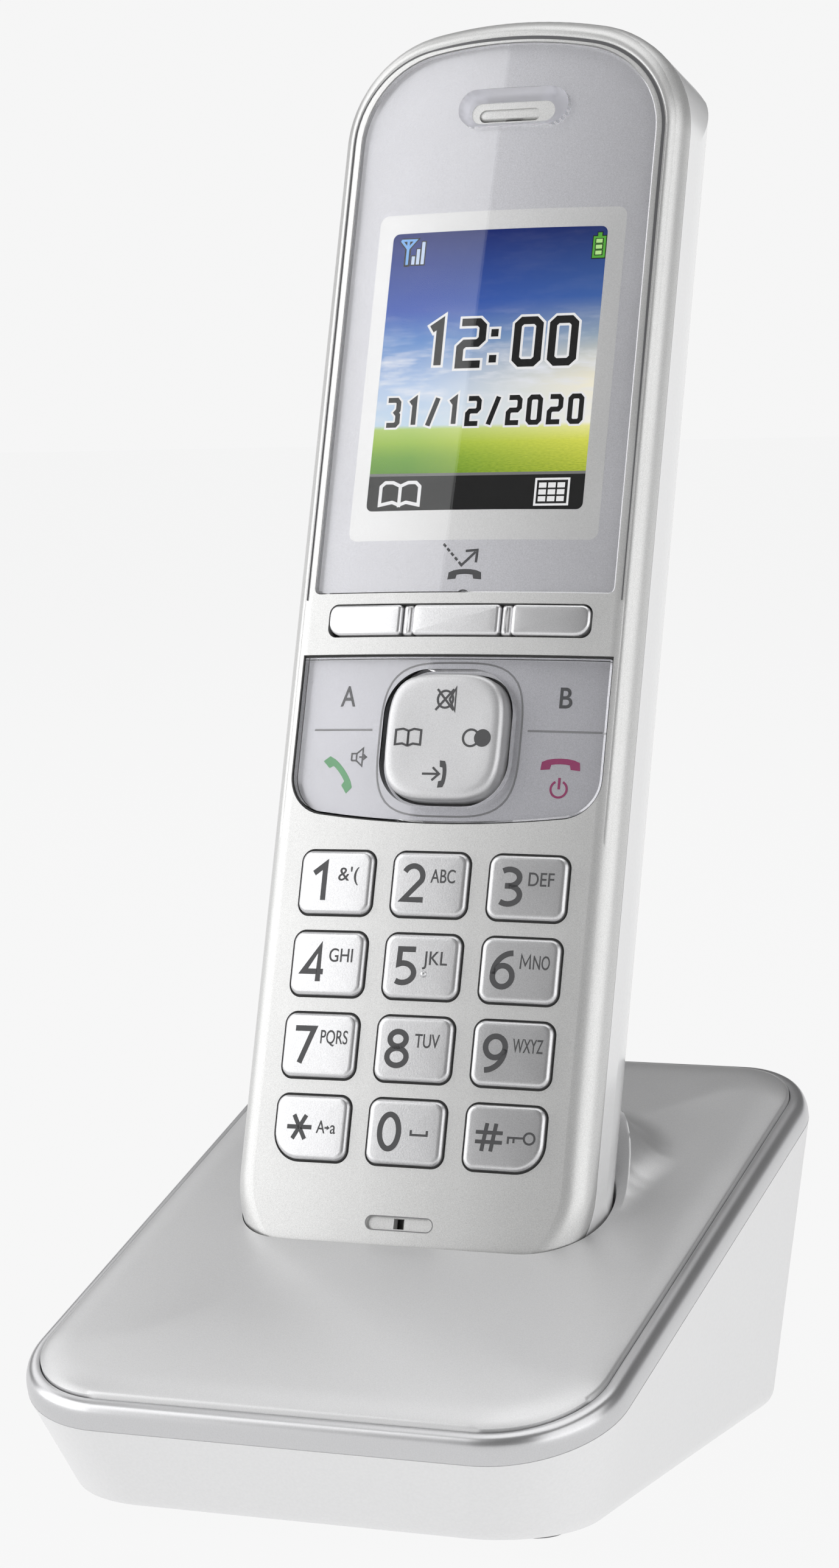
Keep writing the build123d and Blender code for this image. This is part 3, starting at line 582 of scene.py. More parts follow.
def nav_outline(inset):
    """A square with bowed sides and full round corners."""
    points = []
    for i in range(72):
        c, s = math.cos(math.radians(5 * i)), math.sin(math.radians(5 * i))
        reach = 1 / (abs(c) ** NAV_POWER + abs(s) ** NAV_POWER) ** (1 / NAV_POWER)
        points.append(((NAV_HALF_U - inset) * reach * c, NAV_MID + (NAV_HALF_V - inset) * reach * s))
    return points


nav = domed_cap(
    "navigator_cap", nav_outline, NAV_LEVELS, NAV_PROUD, silver_nav, "navigator_key", "navigator_silver",
    NAV_DISH,
)
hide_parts("navigator_key")

bm = bmesh.new()
THIN = 0.26
page = [(0, 26.15), (0.7, 26.42), (1.62, 26.3), (1.62, 28.05), (0.7, 28.2), (0, 27.95), (0, 26.15)]
draw(bm, [
    # crossed-out bell at the top
    (THIN, arc(0.03, 31.8, 0.98, 1.02, 0, 360, 24)[:-1], True),
    (THIN, [(-1.05, 33.0), (1.15, 30.5)]),
    (THIN, [(-1.15, 30.5), (1.05, 33.0)]),
    (THIN, [(0.55, 31.8), (1.32, 33.15), (1.32, 30.45), (0.55, 31.8)]),
    # open book on the left
    (THIN, [(-4.33 - x, y) for x, y in page]),
    (THIN, [(-4.33 + x, y) for x, y in page]),
    # ring on the right, beside a disc
    (THIN, circle(3.72, 27.2, 1.0, 26), True),
    # arrow to a handset at the bottom
    (THIN, [(-2.05, 22.82), (0.0, 22.82)]),
    (THIN, [(-0.75, 23.6), (0.12, 22.82), (-0.75, 22.04)]),
])
polygon_face(bm, circle(5.2, 27.2, 1.06, 28))
handset_mark(bm, 0.55, 22.8, -90, 0.68)
bmesh.ops.triangulate(bm, faces=bm.faces[:])


def nav_height(u, v):
    """Height of the navigator cap's dished top."""
    across = abs(u) / (NAV_HALF_U - NAV_RIM)
    along = abs(v - NAV_MID) / (NAV_HALF_V - NAV_RIM)
    share = min(1.0, (across ** NAV_POWER + along ** NAV_POWER) ** (1 / NAV_POWER))
    return NAV_PROUD - NAV_DISH * (1 - share * share)


thicken(bm, 0.12)
for vert in bm.verts:
    vert.co.z += crown(vert.co.x, nav_height(vert.co.x, vert.co.y) + 0.04)
write_piece("navigator_legends", bm, legend_grey, "navigator_key", "inner_grey", 40)

# ---------------------------------------------------------------- soft keys
SOFT_LEVELS = ((0, -2.2), (0, -0.28), (0.05, -0.16), (0.14, -0.06), (0.28, 0.0), (0.5, 0.01))
BAR_MID, BAR_HIGH = 41.65, 3.7
MID_KEY, SIDE_KEY, WEB = 11.2, 9.7, 1.5
SIDE_MID = MID_KEY / 2 + WEB + SIDE_KEY / 2
for name, mid, wide, corners in (
    ("soft_key_left", -SIDE_MID, SIDE_KEY, (0.5, 1.1, 1.7, 0.5)),
    ("soft_key_middle", 0.0, MID_KEY, (0.5, 0.5, 0.5, 0.5)),
    ("soft_key_right", SIDE_MID, SIDE_KEY, (1.1, 0.5, 0.5, 1.7)),
):
    def soft_outline(inset, mid=mid, wide=wide, corners=corners):
        radii = [max(0.05, radius - inset * 0.8) for radius in corners]
        return rounded_points(wide / 2 - inset, BAR_HIGH / 2 - inset, radii, 6, (mid, BAR_MID))

    cap = domed_cap(name + "_cap", soft_outline, SOFT_LEVELS, 0.35, silver_soft, name, "soft_key_silver")
    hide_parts(name)

WEB_LEVELS = ((0, -1.2), (0, -0.30), (0.10, -0.10), (0.25, 0.0), (0.4, 0.02))
for side in (-1, 1):
    web_mid = side * (MID_KEY + WEB) / 2

    def web_outline(inset, web_mid=web_mid):
        return rounded_points(WEB / 2 - 0.08 - inset, BAR_HIGH / 2 - inset, [0.35] * 4, 4, (web_mid, BAR_MID))

    web = domed_cap(
        f"soft_key_web_{side + 2}", web_outline, WEB_LEVELS, -0.05, silver_soft, "handset", "soft_key_silver"
    )
    if side < 0:
        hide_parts("soft_key_webs")

# ---------------------------------------------------------------- prints behind the clear window
def arched_points(half, low, top, corner, foot, arch, steps=14):
    """The window's outline: flat sides, round shoulders and a gently arched top."""
    arch_mid = top - arch
    reach = arch - corner
    cx = half - corner
    cy = arch_mid + math.sqrt(reach * reach - cx * cx)
    shoulder = math.degrees(math.atan2(cy - arch_mid, cx))
    right = arc(cx, cy, corner, corner, 0, shoulder, steps)
    over = arc(0, arch_mid, arch, arch, shoulder, 180 - shoulder, 2 * steps)[1:-1]
    left = [(-x, y) for x, y in reversed(right)]
    low_left = arc(-half + foot, low + foot, foot, foot, 180, 270, 4)
    low_right = arc(half - foot, low + foot, foot, foot, 270, 360, 4)
    return right + over + left + low_left + low_right


def slot_points(mid_u, mid_v, length, height, steps=10):
    straight = (length - height) / 2
    right = arc(mid_u + straight, mid_v, height / 2, height / 2, -90, 90, steps)
    left = arc(mid_u - straight, mid_v, height / 2, height / 2, 90, 270, steps)
    return right + left


window_edge = arched_points(19.25, 45.15, 113.75, 11.05, 0.65, 56.35)
SLOT_MID = (0.43, 105.35)
SCREEN_MID, BEZEL_MID = (0.14, 72.9), (0.25, 72.25)
bezel_edge = rounded_points(16.1, 20.55, [1.1] * 4, 6, BEZEL_MID)
screen_edge = rounded_points(14.0, 17.5, [0.8] * 4, 6, SCREEN_MID)
inside_bezel = rounded_points(15.6, 20.05, [0.9] * 4, 6, BEZEL_MID)
print_rings = [window_edge, slot_points(*SLOT_MID, 10.87, 2.55), inside_bezel]
crowned_plate("window_print", print_rings, 0.02, -1.262, silver_print, slot="front_silver")
pane_rings = [window_edge, slot_points(0.80, 105.7, 14.4, 4.8)]
glass = crowned_plate("window_pane", pane_rings, 1.14, -0.11, clear_window, slot="clear_window")
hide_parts("display_window")
crowned_plate("screen_bezel", [bezel_edge, screen_edge], 0.018, -1.255, bezel_print, slot="earpiece_silver")

# the earpiece: a frosted funnel in the window, a slot, and a bar set in it
frosted = clear_plastic("frosted_edge", (0.90, 0.90, 0.93), 0.42)
# middle, length, height and depth of each ring
FUNNEL = (
    (0.80, 105.70, 14.40, 4.80, -0.12), (0.75, 105.66, 13.9, 4.5, -0.16), (0.62, 105.5, 12.4, 3.5, -0.75),
    (0.43, 105.35, 11.0, 2.68, -1.20), (0.43, 105.35, 10.95, 2.62, -1.25), (0.80, 105.70, 14.38, 4.78, -1.24),
)
RECESS = tuple(
    (*SLOT_MID, *row)
    for row in ((10.87, 2.55, -1.27), (10.87, 2.55, -2.25), (11.2, 2.9, -2.25), (11.2, 2.9, -1.27))
)
for name, section, material, slot in (
    ("earpiece_funnel", FUNNEL, frosted, "clear_window"),
    ("earpiece_recess_wall", RECESS, silver_front, "earpiece_silver"),
):
    rings = [[(u, v, crown(u, w)) for u, v in slot_points(*row, 12)] for *row, w in section]
    hoop(name, rings, material, "handset", slot)
slit = [(-0.8, 104.32), (1.72, 104.32), (1.72, 104.74), (-0.8, 104.74)]
crowned_plate(
    "earpiece_recess_floor", [slot_points(*SLOT_MID, 11.1, 2.8), slit], 0.3, -2.2, silver_front,
    slot="earpiece_silver",
)
# painted shade: a dark sheet under the bar where the slit's hole lies in shade
crowned_plate("earpiece_slit_shade", [slot_points(0.5, 104.28, 2.1, 0.32)], 0.1, -1.5, painted_gap_shade)
BAR_LEVELS = ((0, -0.7), (0, -0.32), (0.14, -0.14), (0.30, -0.02), (0.45, 0.0))


def bar_outline(inset):
    return slot_points(0.43, 105.38, 9.4 - 2 * inset, 1.78 - 2 * inset, 8)


bar = domed_cap(
    "earpiece_bar_skin", bar_outline, BAR_LEVELS, -1.5, silver_front, "handset", "earpiece_silver"
)
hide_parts("earpiece_bar")

# raised rim that frames the window and the call keys: inner wall, crest and outer slope,
# as (distance out from its inner line, height)
RIM_SECTION = (
    (0.0, -0.30), (0.02, -0.04), (0.16, 0.07), (0.42, 0.17), (0.80, 0.25), (1.15, 0.25), (1.55, 0.17),
    (2.05, 0.06), (2.5, -0.04), (2.5, -0.5),
)
EDGE_ROUND = 3.2


def cover_depth(edge):
    """How far the cover's rounded edge has dropped at a distance in from the handset's outline."""
    if edge >= EDGE_ROUND:
        return 0.0
    return EDGE_ROUND - math.sqrt(EDGE_ROUND ** 2 - (EDGE_ROUND - max(edge, 0.02)) ** 2)


RIM_HALF, RIM_FOOT, RIM_REACH = 20.4, 6.0, 3.0
CLIMB = 60


def rim_line(half, top, corner, arch):
    """A line up the face's right side, over its top and down its left side."""
    over = arched_points(half, RIM_FOOT, top, corner, 0.01, arch, 20)[:-10]
    climb = [(half, RIM_FOOT + (over[0][1] - RIM_FOOT) * i / CLIMB) for i in range(CLIMB)]
    return climb + over + [(-x, y) for x, y in reversed(climb)]


inner_line = rim_line(RIM_HALF, 114.6, 11.87, 57.15)
sections = []
for (u, v), (ou, ov) in zip(inner_line, rim_line(22.4, 117.4, 14.0, 60.0)):
    fade = smooth((v - 7.0) / 12.0)
    across = math.hypot(ou - u, ov - v)
    section = []
    for away, lift in RIM_SECTION:
        share = away / RIM_REACH
        x, y = u + (ou - u) * share, v + (ov - v) * share
        base = crown(x) - cover_depth(across * (1 - share))
        section.append((x, y, base + (lift * fade if lift > 0 else lift) - (1 - fade) * 0.06))
    sections.append(section)
bm = bmesh.new()
fill_rings(bm, sections)
write_piece("front_rim", bm, silver_front, "handset", "front_silver", 50)

# painted shade: a dark line at the rim's foot for its shaded inner wall, widest at the upper right
band_low = 44.3
band_out = [(RIM_HALF, band_low + 6 * i) for i in range(9)] + inner_line[CLIMB:-CLIMB]
band_out += [(-RIM_HALF, band_low + 6 * i) for i in reversed(range(9))]
band_in = []
for u, v in band_out:
    wide = 0.10 + 0.30 * clamp((v - 60.0) / 40.0) * clamp((u + 16.0) / 14.0)
    toward = Vector((0.0, min(v, 88.0))) - Vector((u, v))
    toward.normalize()
    band_in.append((u + toward.x * wide, v + toward.y * wide))
crowned_plate("window_rim_shade", [band_out + band_in[::-1]], 0.14, 0.03, painted_rim_shade)

# painted shade: the microphone's slot, as a grey outline round its hole for the shade at the recess's edge
pill = [slot_points(0.15, -30.0, 8.6, 1.75), slot_points(0.15, -30.0, 8.36, 1.5)]
crowned_plate("microphone_slot_shade", pill, 0.05, 0.012, painted_line_shade)

# ---------------------------------------------------------------- the lit screen
SCREEN_DEPTH = -2.0
SCREEN_THICK = 1.25
GLOW = 0.9


def mix_colours(tree, factor, first, second):
    """A mix of two colour sockets, the second of which may be a plain colour."""
    mix = tree.new("ShaderNodeMix")
    mix.data_type = "RGBA"
    link(factor, mix.inputs["Factor"])
    link(first, mix.inputs[6])
    if isinstance(second, tuple):
        mix.inputs[7].default_value = second
    else:
        link(second, mix.inputs[7])
    return mix.outputs[2]


def masked(tree, source, by_height, stops):
    """A value that is let through by how high it stands in the picture."""
    mask = add_ramp(tree, by_height, [(place, (tone,) * 3) for place, tone in stops])
    product = tree.new("ShaderNodeMath")
    product.operation = "MULTIPLY"
    link(source, product.inputs[0])
    link(mask.outputs["Color"], product.inputs[1])
    return product.outputs["Value"]


lcd, tree, shader = new_material("screen_picture")
coords = tree.new("ShaderNodeTexCoord")
split = tree.new("ShaderNodeSeparateXYZ")
link(coords.outputs["UV"], split.inputs["Vector"])
upward = split.outputs["Y"]
sky = add_ramp(
    tree, upward,
    [
        (0.00, (0.17, 0.38, 0.035)), (0.07, (0.23, 0.46, 0.05)), (0.13, (0.41, 0.62, 0.07)),
        (0.185, (0.48, 0.66, 0.16)), (0.20, (0.60, 0.75, 0.88)), (0.35, (0.50, 0.64, 0.86)),
        (0.54, (0.11, 0.27, 0.62)), (0.66, (0.035, 0.10, 0.46)), (1.00, (0.01, 0.02, 0.16)),
    ],
)
warm = add_ramp(
    tree, upward,
    [
        (0.00, (0.74, 0.77, 0.07)), (0.13, (0.90, 0.89, 0.12)), (0.185, (0.95, 0.92, 0.36)),
        (0.20, (1.0, 0.98, 0.85)), (0.36, (1.0, 0.94, 0.74)), (0.45, (0.73, 0.72, 0.61)),
        (0.55, (0.32, 0.41, 0.51)), (0.70, (0.05, 0.13, 0.40)), (1.00, (0.01, 0.02, 0.12)),
    ],
)
lean = tree.new("ShaderNodeMapRange")
set_sockets(lean, {"From Min": 0.20, "From Max": 0.98})
link(split.outputs["X"], lean.inputs["Value"])
picture = mix_colours(tree, lean.outputs["Result"], sky.outputs["Color"], warm.outputs["Color"])
stretch = tree.new("ShaderNodeMapping")
stretch.inputs["Scale"].default_value = (2.0, 9.0, 1.0)
link(coords.outputs["UV"], stretch.inputs["Vector"])
noises = []
for settings in ({"Scale": 1.9, "Detail": 6, "Roughness": 0.62}, {"Scale": 26, "Detail": 4}):
    noise = tree.new("ShaderNodeTexNoise")
    set_sockets(noise, settings)
    link(stretch.outputs["Vector"], noise.inputs["Vector"])
    noises.append(noise.outputs["Fac"])
clouds, tufts = noises
puffs = add_ramp(tree, clouds, [(0.47, (0, 0, 0)), (0.68, (1, 1, 1))])
belt_stops = [(0.205, 0), (0.22, 0.5), (0.42, 1), (0.52, 0.35), (0.68, 0.02)]
belt = masked(tree, puffs.outputs["Color"], upward, belt_stops)
picture = mix_colours(tree, belt, picture, (0.88, 0.90, 0.95, 1))
grass = masked(tree, tufts, upward, [(0.0, 0.9), (0.12, 0.4), (0.18, 0.08), (0.20, 0)])
picture = mix_colours(tree, grass, picture, (0.05, 0.20, 0.01, 1))
link(picture, shader.inputs["Emission Color"])
DARK_SCREEN = {"Emission Strength": GLOW, "Roughness": 0.5, "Specular IOR Level": 0.0}
set_sockets(shader, DARK_SCREEN | {"Base Color": (0.01, 0.01, 0.012, 1)})


def lit(name, colour):
    """A flat screen colour with the fine unevenness of a display."""
    mat, tree, shader = new_material(name)
    fine = add_noise(tree, 6000, 2)
    stops = [(0.3, shade(colour, 0.96)), (0.7, shade(colour, 1.04))]
    ramp = add_ramp(tree, fine.outputs["Fac"], stops)
    link(ramp.outputs["Color"], shader.inputs["Emission Color"])
    set_sockets(shader, DARK_SCREEN | {"Base Color": (0.01, 0.01, 0.01, 1)})
    return mat


screen_white, screen_black, screen_blue, screen_pale, screen_green, screen_lime, screen_grey = (
    lit("screen_" + name, colour) for name, colour in (
        ("white", (0.92, 0.92, 0.92)), ("black", (0.012, 0.012, 0.012)), ("blue", (0.22, 0.48, 0.90)),
        ("pale", (0.62, 0.74, 0.95)), ("green", (0.10, 0.42, 0.05)), ("lime", (0.50, 0.85, 0.30)),
        ("grey", (0.20, 0.20, 0.20)),
    )
)

LOW_V, HIGH_V, BAR_TOP, LEFT_U, RIGHT_U = 54.6, 91.2, 59.95, -14.9, 15.1
bm = bmesh.new()
corners = [(LEFT_U, BAR_TOP), (RIGHT_U, BAR_TOP), (RIGHT_U, HIGH_V), (LEFT_U, HIGH_V)]
face = bm.faces.new([bm.verts.new((x, y, SCREEN_DEPTH)) for x, y in corners])
uv = bm.loops.layers.uv.new("picture")
for loop, corner in zip(face.loops, ((0, 0), (1, 0), (1, 1), (0, 1))):
    loop[uv].uv = corner
thicken(bm, SCREEN_THICK)
screen = write_piece("lcd_picture", bm, lcd, "handset", "screen", 30)
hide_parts("lcd_panel")

STEP = 0.03


def flat_prism(name, outlines, strokes, level, material, thickness=0.02):
    """Flat marks on the screen: filled outlines and strokes, all at one level over it."""
    bm = bmesh.new()
    for outline in outlines:
        polygon_face(bm, outline)
    for points, width, closed in strokes:
        stroke_faces(bm, points, width, closed)
    thicken(bm, thickness)
    for vert in bm.verts:
        vert.co.z += SCREEN_DEPTH + level * STEP
    return write_piece(name, bm, material, "handset", "screen", 40)


def oblong(left, low, right, high):
    return [(left, low), (right, low), (right, high), (left, high)]


flat_prism("screen_bar", [oblong(LEFT_U, LOW_V, RIGHT_U, BAR_TOP)], [], 0, screen_black, SCREEN_THICK)
flat_prism("screen_bar_line", [oblong(LEFT_U, BAR_TOP - 0.12, RIGHT_U, BAR_TOP + 0.22)], [], 1, screen_grey)


def screen_text(text, left, low, height, width, pitch, stroke, rim):
    """Squared digits in black with a white rim, as two layers."""
    fat, thin, dots_fat, dots_thin = [], [], [], []
    u = left
    for mark in text:
        if mark == ":":
            for y in (low + height * 0.10, low + height * 0.62):
                u0 = u - 0.15
                dots_thin.append(oblong(u0, y, u0 + stroke, y + stroke))
                dots_fat.append(oblong(u0 - rim, y - rim, u0 + stroke + rim, y + stroke + rim))
            u += pitch * 0.62
            continue
        points, closed = SCREEN_STROKES[mark]
        pts = scaled(points, u + stroke / 2, low + stroke / 2, width - stroke, height - stroke)
        u += pitch
        thin.append((pts, stroke, closed))
        if closed:
            fat.append((pts, stroke + 2 * rim, True))
            continue
        start, end = Vector(pts[0]), Vector(pts[-1])
        first = start + (start - Vector(pts[1])).normalized() * rim
        last = end + (end - Vector(pts[-2])).normalized() * rim
        fat.append(([tuple(first)] + pts[1:-1] + [tuple(last)], stroke + 2 * rim, False))
    return fat, thin, dots_fat, dots_thin


for name, values in (
    ("clock", ("12:00", -8.75, 73.2, 6.25, 3.75, 4.55, 0.95, 0.30)),
    ("date", ("31/12/2020", -12.75, 65.95, 3.75, 2.02, 2.64, 0.62, 0.24)),
):
    fat, thin, dots_fat, dots_thin = screen_text(*values)
    flat_prism(name + "_rim", dots_fat, fat, 1, screen_white)
    flat_prism(name + "_digits", dots_thin, thin, 2, screen_black)

# soft-key icons on the black bar: open book and a grid of nine
book = []
for side in (-1, 1):
    mid = -9.75
    page = [(mid, 56.25), (mid + side * 0.9, 56.6), (mid + side * 2.55, 56.25), (mid + side * 2.55, 58.55)]
    page += [(mid + side * 2.0, 59.05), (mid + side * 1.0, 59.05), (mid, 58.6)]
    book.append((page, 0.42, True))
squares = [
    oblong(8.25 + 1.18 * i, 56.5 + 0.84 * j, 9.2 + 1.18 * i, 57.12 + 0.84 * j)
    for i in range(3) for j in range(3)
]
frame_line = [(oblong(7.85, 56.1, 12.05, 59.25), 0.26, True)]
flat_prism("screen_icons", squares, book + frame_line, 1, screen_white)
# aerial and signal bars
aerial = [
    ([(-12.85, 89.65), (-10.95, 89.65), (-11.9, 88.55), (-12.85, 89.65)], 0.3, False),
    ([(-11.9, 89.6), (-11.9, 86.55)], 0.34, False),
]
wider = [(points, width + 0.3, closed) for points, width, closed in aerial]
flat_prism("aerial_back", [oblong(-12.3, 86.3, -11.5, 88.6)], wider, 1, screen_black)
flat_prism("aerial", [], aerial, 2, screen_blue)
bars = [oblong(-11.3 + 0.62 * i, 86.55, -10.88 + 0.62 * i, 87.6 + 0.9 * i) for i in range(3)]
backs = [oblong(-11.42 + 0.62 * i, 86.4, -10.74 + 0.62 * i, 87.75 + 0.9 * i) for i in range(3)]
flat_prism("signal_back", backs, [], 1, screen_black)
flat_prism("signal_bars", bars, [], 2, screen_pale)
# battery
battery_back = [oblong(12.2, 86.4, 14.05, 89.35), oblong(12.75, 89.35, 13.5, 89.8)]
battery_body = [oblong(12.32, 86.52, 13.93, 89.22), oblong(12.87, 89.2, 13.38, 89.68)]
cells = [oblong(12.72, 86.9 + 0.74 * i, 13.52, 87.38 + 0.74 * i) for i in range(3)]
cell_backs = [oblong(12.6, 86.8 + 0.74 * i, 13.64, 87.48 + 0.74 * i) for i in range(3)]
flat_prism("battery_back", battery_back, [], 1, screen_black)
flat_prism("battery_body", battery_body, [], 2, screen_green)
flat_prism("battery_cells_back", cell_backs, [], 3, screen_black)
flat_prism("battery_cells", cells, [], 4, screen_lime)

# printed mark under the screen: a dashed arrow that bounces off a handset
bm = bmesh.new()
for i in range(5):
    a, b = 0.02 + 0.215 * i, 0.15 + 0.215 * i
    stroke_faces(bm, [(-3.07 + 2.55 * a, 51.25 - 2.6 * a), (-3.07 + 2.55 * b, 51.25 - 2.6 * b)], 0.3)
stroke_faces(bm, [(-0.72, 48.85), (-0.45, 48.55), (1.25, 50.2)], 0.3)
stroke_faces(bm, [(-0.05, 50.30), (1.45, 50.42), (1.38, 48.9)], 0.3)
handset_mark(bm, 0.09, 47.45, 0, 0.9)
stroke_faces(bm, arc(0.08, 44.6, 0.9, 0.9, 130, 50, 6), 0.18)
raise_flat("redial_mark", bm, 0.02, -1.235, legend_grey)

# ---------------------------------------------------------------- call-key plate
def plate_points(inset, steps=10):
    """The clear plate's outline: straight top and sides, round lower corners, arched foot."""
    half, top, low, corner = 20.0 - inset, 37.5 - inset, 17.0 + inset, 5.0 - inset
    bow = (half * half + 1.6 * 1.6) / 3.2
    mid_y = low + bow
    cx = half - corner
    cy = mid_y - math.sqrt((bow - corner) ** 2 - cx * cx)
    foot = math.degrees(math.atan2(cy - mid_y, cx))
    right_corner = arc(cx, cy, corner, corner, foot, 0, steps)
    left_corner = [(-x, y) for x, y in reversed(right_corner)]
    under = arc(0, mid_y, bow, bow, 180 - foot - 360, foot, 20)[1:-1]
    return [(-half, top)] + left_corner + under + right_corner + [(half, top)]


crowned_plate(
    "call_plate_print", [plate_points(0.4), nav_outline(-0.3)], 0.05, -1.60, plate_print, "call_key_plate",
    "clear_plate",
)


def plate_mark(name, bm, material, slot="inner_grey"):
    """A print on the plate's underside, or painted shade where it stands for the plate's ridges."""
    raise_flat(name, bm, 0.02, -1.57, material, "call_key_plate", slot)


bm = bmesh.new()
letters(bm, "A", -14.72, 31.38, 2.5, right=-12.72, bold=0.035)
letters(bm, "B", 13.45, 31.42, 2.5, right=15.0, bold=0.035)
# loudspeaker with an arrow
horn = [(-12.5, 24.75), (-12.5, 25.6), (-11.85, 25.6), (-11.05, 26.25), (-11.05, 24.1), (-11.85, 24.75)]
draw(bm, [
    (0.2, horn + horn[:1]),
    (0.2, [(-11.5, 25.18), (-10.6, 25.18)]),
    (0.2, [(-10.95, 25.5), (-10.55, 25.18), (-10.95, 24.86)]),
    (0.2, [(-11.85, 25.6), (-11.85, 24.75)]),
])
plate_mark("call_plate_letters", bm, legend_grey)
# painted shade: a dark sheet in the gap round the plate
crowned_plate("call_plate_gap_shade", [plate_points(0.02), plate_points(0.20)], 0.12, -0.35, painted_gap_shade)
# painted shade: grey lines under the plate for the shading of the ridges that part its four corners, and of
# the ring round the navigator
bm = bmesh.new()
draw(bm, [
    (0.24, [(-17.9, 28.5), (-10.1, 28.5)]), (0.24, [(9.85, 28.6), (19.0, 28.6)]),
    (0.22, nav_outline(-1.62), True),
])
plate_mark("call_plate_ridge_shade", bm, painted_line_shade)
bm = bmesh.new()
handset_mark(bm, -13.95, 23.2, -49, 1.08)
plate_mark("talk_mark", bm, legend_green, "board_green")
bm = bmesh.new()
handset_mark(bm, 14.28, 24.68, 0, 1.0)
draw(bm, [(0.26, arc(14.3, 21.75, 0.98, 0.98, 118, 422, 24)), (0.30, [(14.3, 23.1), (14.3, 21.75)])])
plate_mark("off_mark", bm, legend_red, "button_grey")

# ---------------------------------------------------------------- base top cover
EDGE = 2.05                  # cover's edge, in from the ring's outside
HALF_X, HALF_S = RING_HALF - EDGE, RING_HALF_LONG - EDGE
BACK_CORNER, FRONT_CORNER = 8.45, 11.45
TAIL_HALF, TAIL_DEEP, TAIL_OVER = 22.8, 20.0, 0.35
ANGLES, RADIALS = 360, 90
CUP_WALL, UNDER_SHARE, UNDER_HEIGHT = 0.4, 0.95, 1.6


def cover_edge_distance(x, s):
    """How far a point lies inside the cover's rounded outline."""
    corner = BACK_CORNER if s > 0 else FRONT_CORNER
    dx = abs(x) - (HALF_X - corner)
    ds = abs(s) - (HALF_S - corner)
    if dx > 0 and ds > 0:
        return corner - math.hypot(dx, ds)
    return corner - max(dx, ds)


def base_height(x, s):
    """The cover's soft-shouldered top without its collar."""
    d = max(0.0, cover_edge_distance(x, s))
    steep = 1 - (1 - min(1.0, d / 4.0)) ** 2.4
    wide = 1 - (1 - min(1.0, d / 20.0)) ** 2
    return 3.35 + 0.60 * steep ** 0.7 + 0.95 * wide


def tail_outline():
    """The pocket's mouth as (u, depth), with small corners at the face and large at the back."""
    middle = (0, TAIL_DEEP / 2 - TAIL_OVER / 2)
    return rounded_points(TAIL_HALF, (TAIL_DEEP + TAIL_OVER) / 2, (12.5, 12.5, 8.0, 8.0), 18, middle)


def slope_of(point):
    """(x, s, h) of a point in the shared frame."""
    d = point - SLOPE_ORIGIN
    return d.x, d.dot(SLOPE_UP), d.dot(SLOPE_OUT)


def pocket_edge_point(u, depth):
    """Where a line along the handset at (u, depth) meets the cover."""
    v = -34.0 + 0.7 * depth
    for _ in range(12):
        x, s, h = slope_of(on_face(u, v, -depth))
        v -= (h - base_height(x, s)) / FACE_UP.dot(SLOPE_OUT)
    x, s, h = slope_of(on_face(u, v, -depth))
    return x, s, v, depth


def resample(points, count):
    """Evenly spaced points round a closed outline."""
    pts = [Vector(p) for p in points]
    lengths = [(pts[(i + 1) % len(pts)] - pts[i]).length for i in range(len(pts))]
    total = sum(lengths)
    out, i, run = [], 0, 0.0
    for k in range(count):
        target = total * k / count
        while run + lengths[i] < target:
            run += lengths[i]
            i += 1
        share = (target - run) / lengths[i]
        out.append(pts[i].lerp(pts[(i + 1) % len(pts)], share))
    return out


hole = [pocket_edge_point(u, depth) for u, depth in resample(tail_outline(), ANGLES * 3)]
hole_mid = Vector((0, sum(p[1] for p in hole) / len(hole)))
cover_corners = (BACK_CORNER, BACK_CORNER, FRONT_CORNER, FRONT_CORNER)
outer = resample(rounded_points(HALF_X, HALF_S, cover_corners, 18), ANGLES * 4)


def by_angle(points, angle):
    """The point of an outline that is seen from the hole's middle at an angle."""

    def off(p):
        return abs((math.atan2(p[1] - hole_mid.y, p[0]) - angle + math.pi) % math.tau - math.pi)

    return min(points, key=off)


COLLAR_CREST = 2.7
COLLAR_RISE = (
    (9.0, 0.0), (11.5, 0.25), (13.5, 0.7), (15.0, 1.3), (16.5, 2.2), (18.0, 3.1), (19.5, 3.9), (21.5, 4.4),
    (24.0, 4.6),
)


def collar_height(depth):
    """Height of the ridge behind the pocket, by depth from the handset's face."""
    for (near, low), (far, high) in zip(COLLAR_RISE, COLLAR_RISE[1:]):
        if near <= depth < far:
            return low + (high - low) * (depth - near) / (far - near)
    return 0.0 if depth < COLLAR_RISE[0][0] else COLLAR_RISE[-1][1]


def collar_shape(q, high):
    """The ridge's cross-section, by distance from the pocket's edge; narrower where it is low."""
    full = high / COLLAR_RISE[-1][1]
    crest = COLLAR_CREST * (0.35 + 0.65 * full)
    if q < crest:
        return q / crest
    share = min(1.0, (q - crest) / (2.4 + 4.1 * full))
    return (1 - share) ** 2.6


hole_tree = kdtree.KDTree(len(hole))
for index, point in enumerate(hole):
    hole_tree.insert((point[0], point[3], 0), index)
hole_tree.balance()
RIDGE_LEAN = math.tan(LEAN + SLOPE)


def cover_point(x, s):
    """A point of the cover's skin: its ridge rises along the pocket, not square to the slope."""
    edge = cover_edge_distance(x, s)
    fade = smooth(edge / 6.0)
    low = base_height(x, s)
    depth = -(on_slope(x, s, low) - FACE_ORIGIN).dot(FACE_OUT)
    q = hole_tree.find((x, depth, 0))[2]
    high = collar_height(depth)
    rise = high * collar_shape(q, high) * fade
    return x, s + rise * RIDGE_LEAN, low + rise


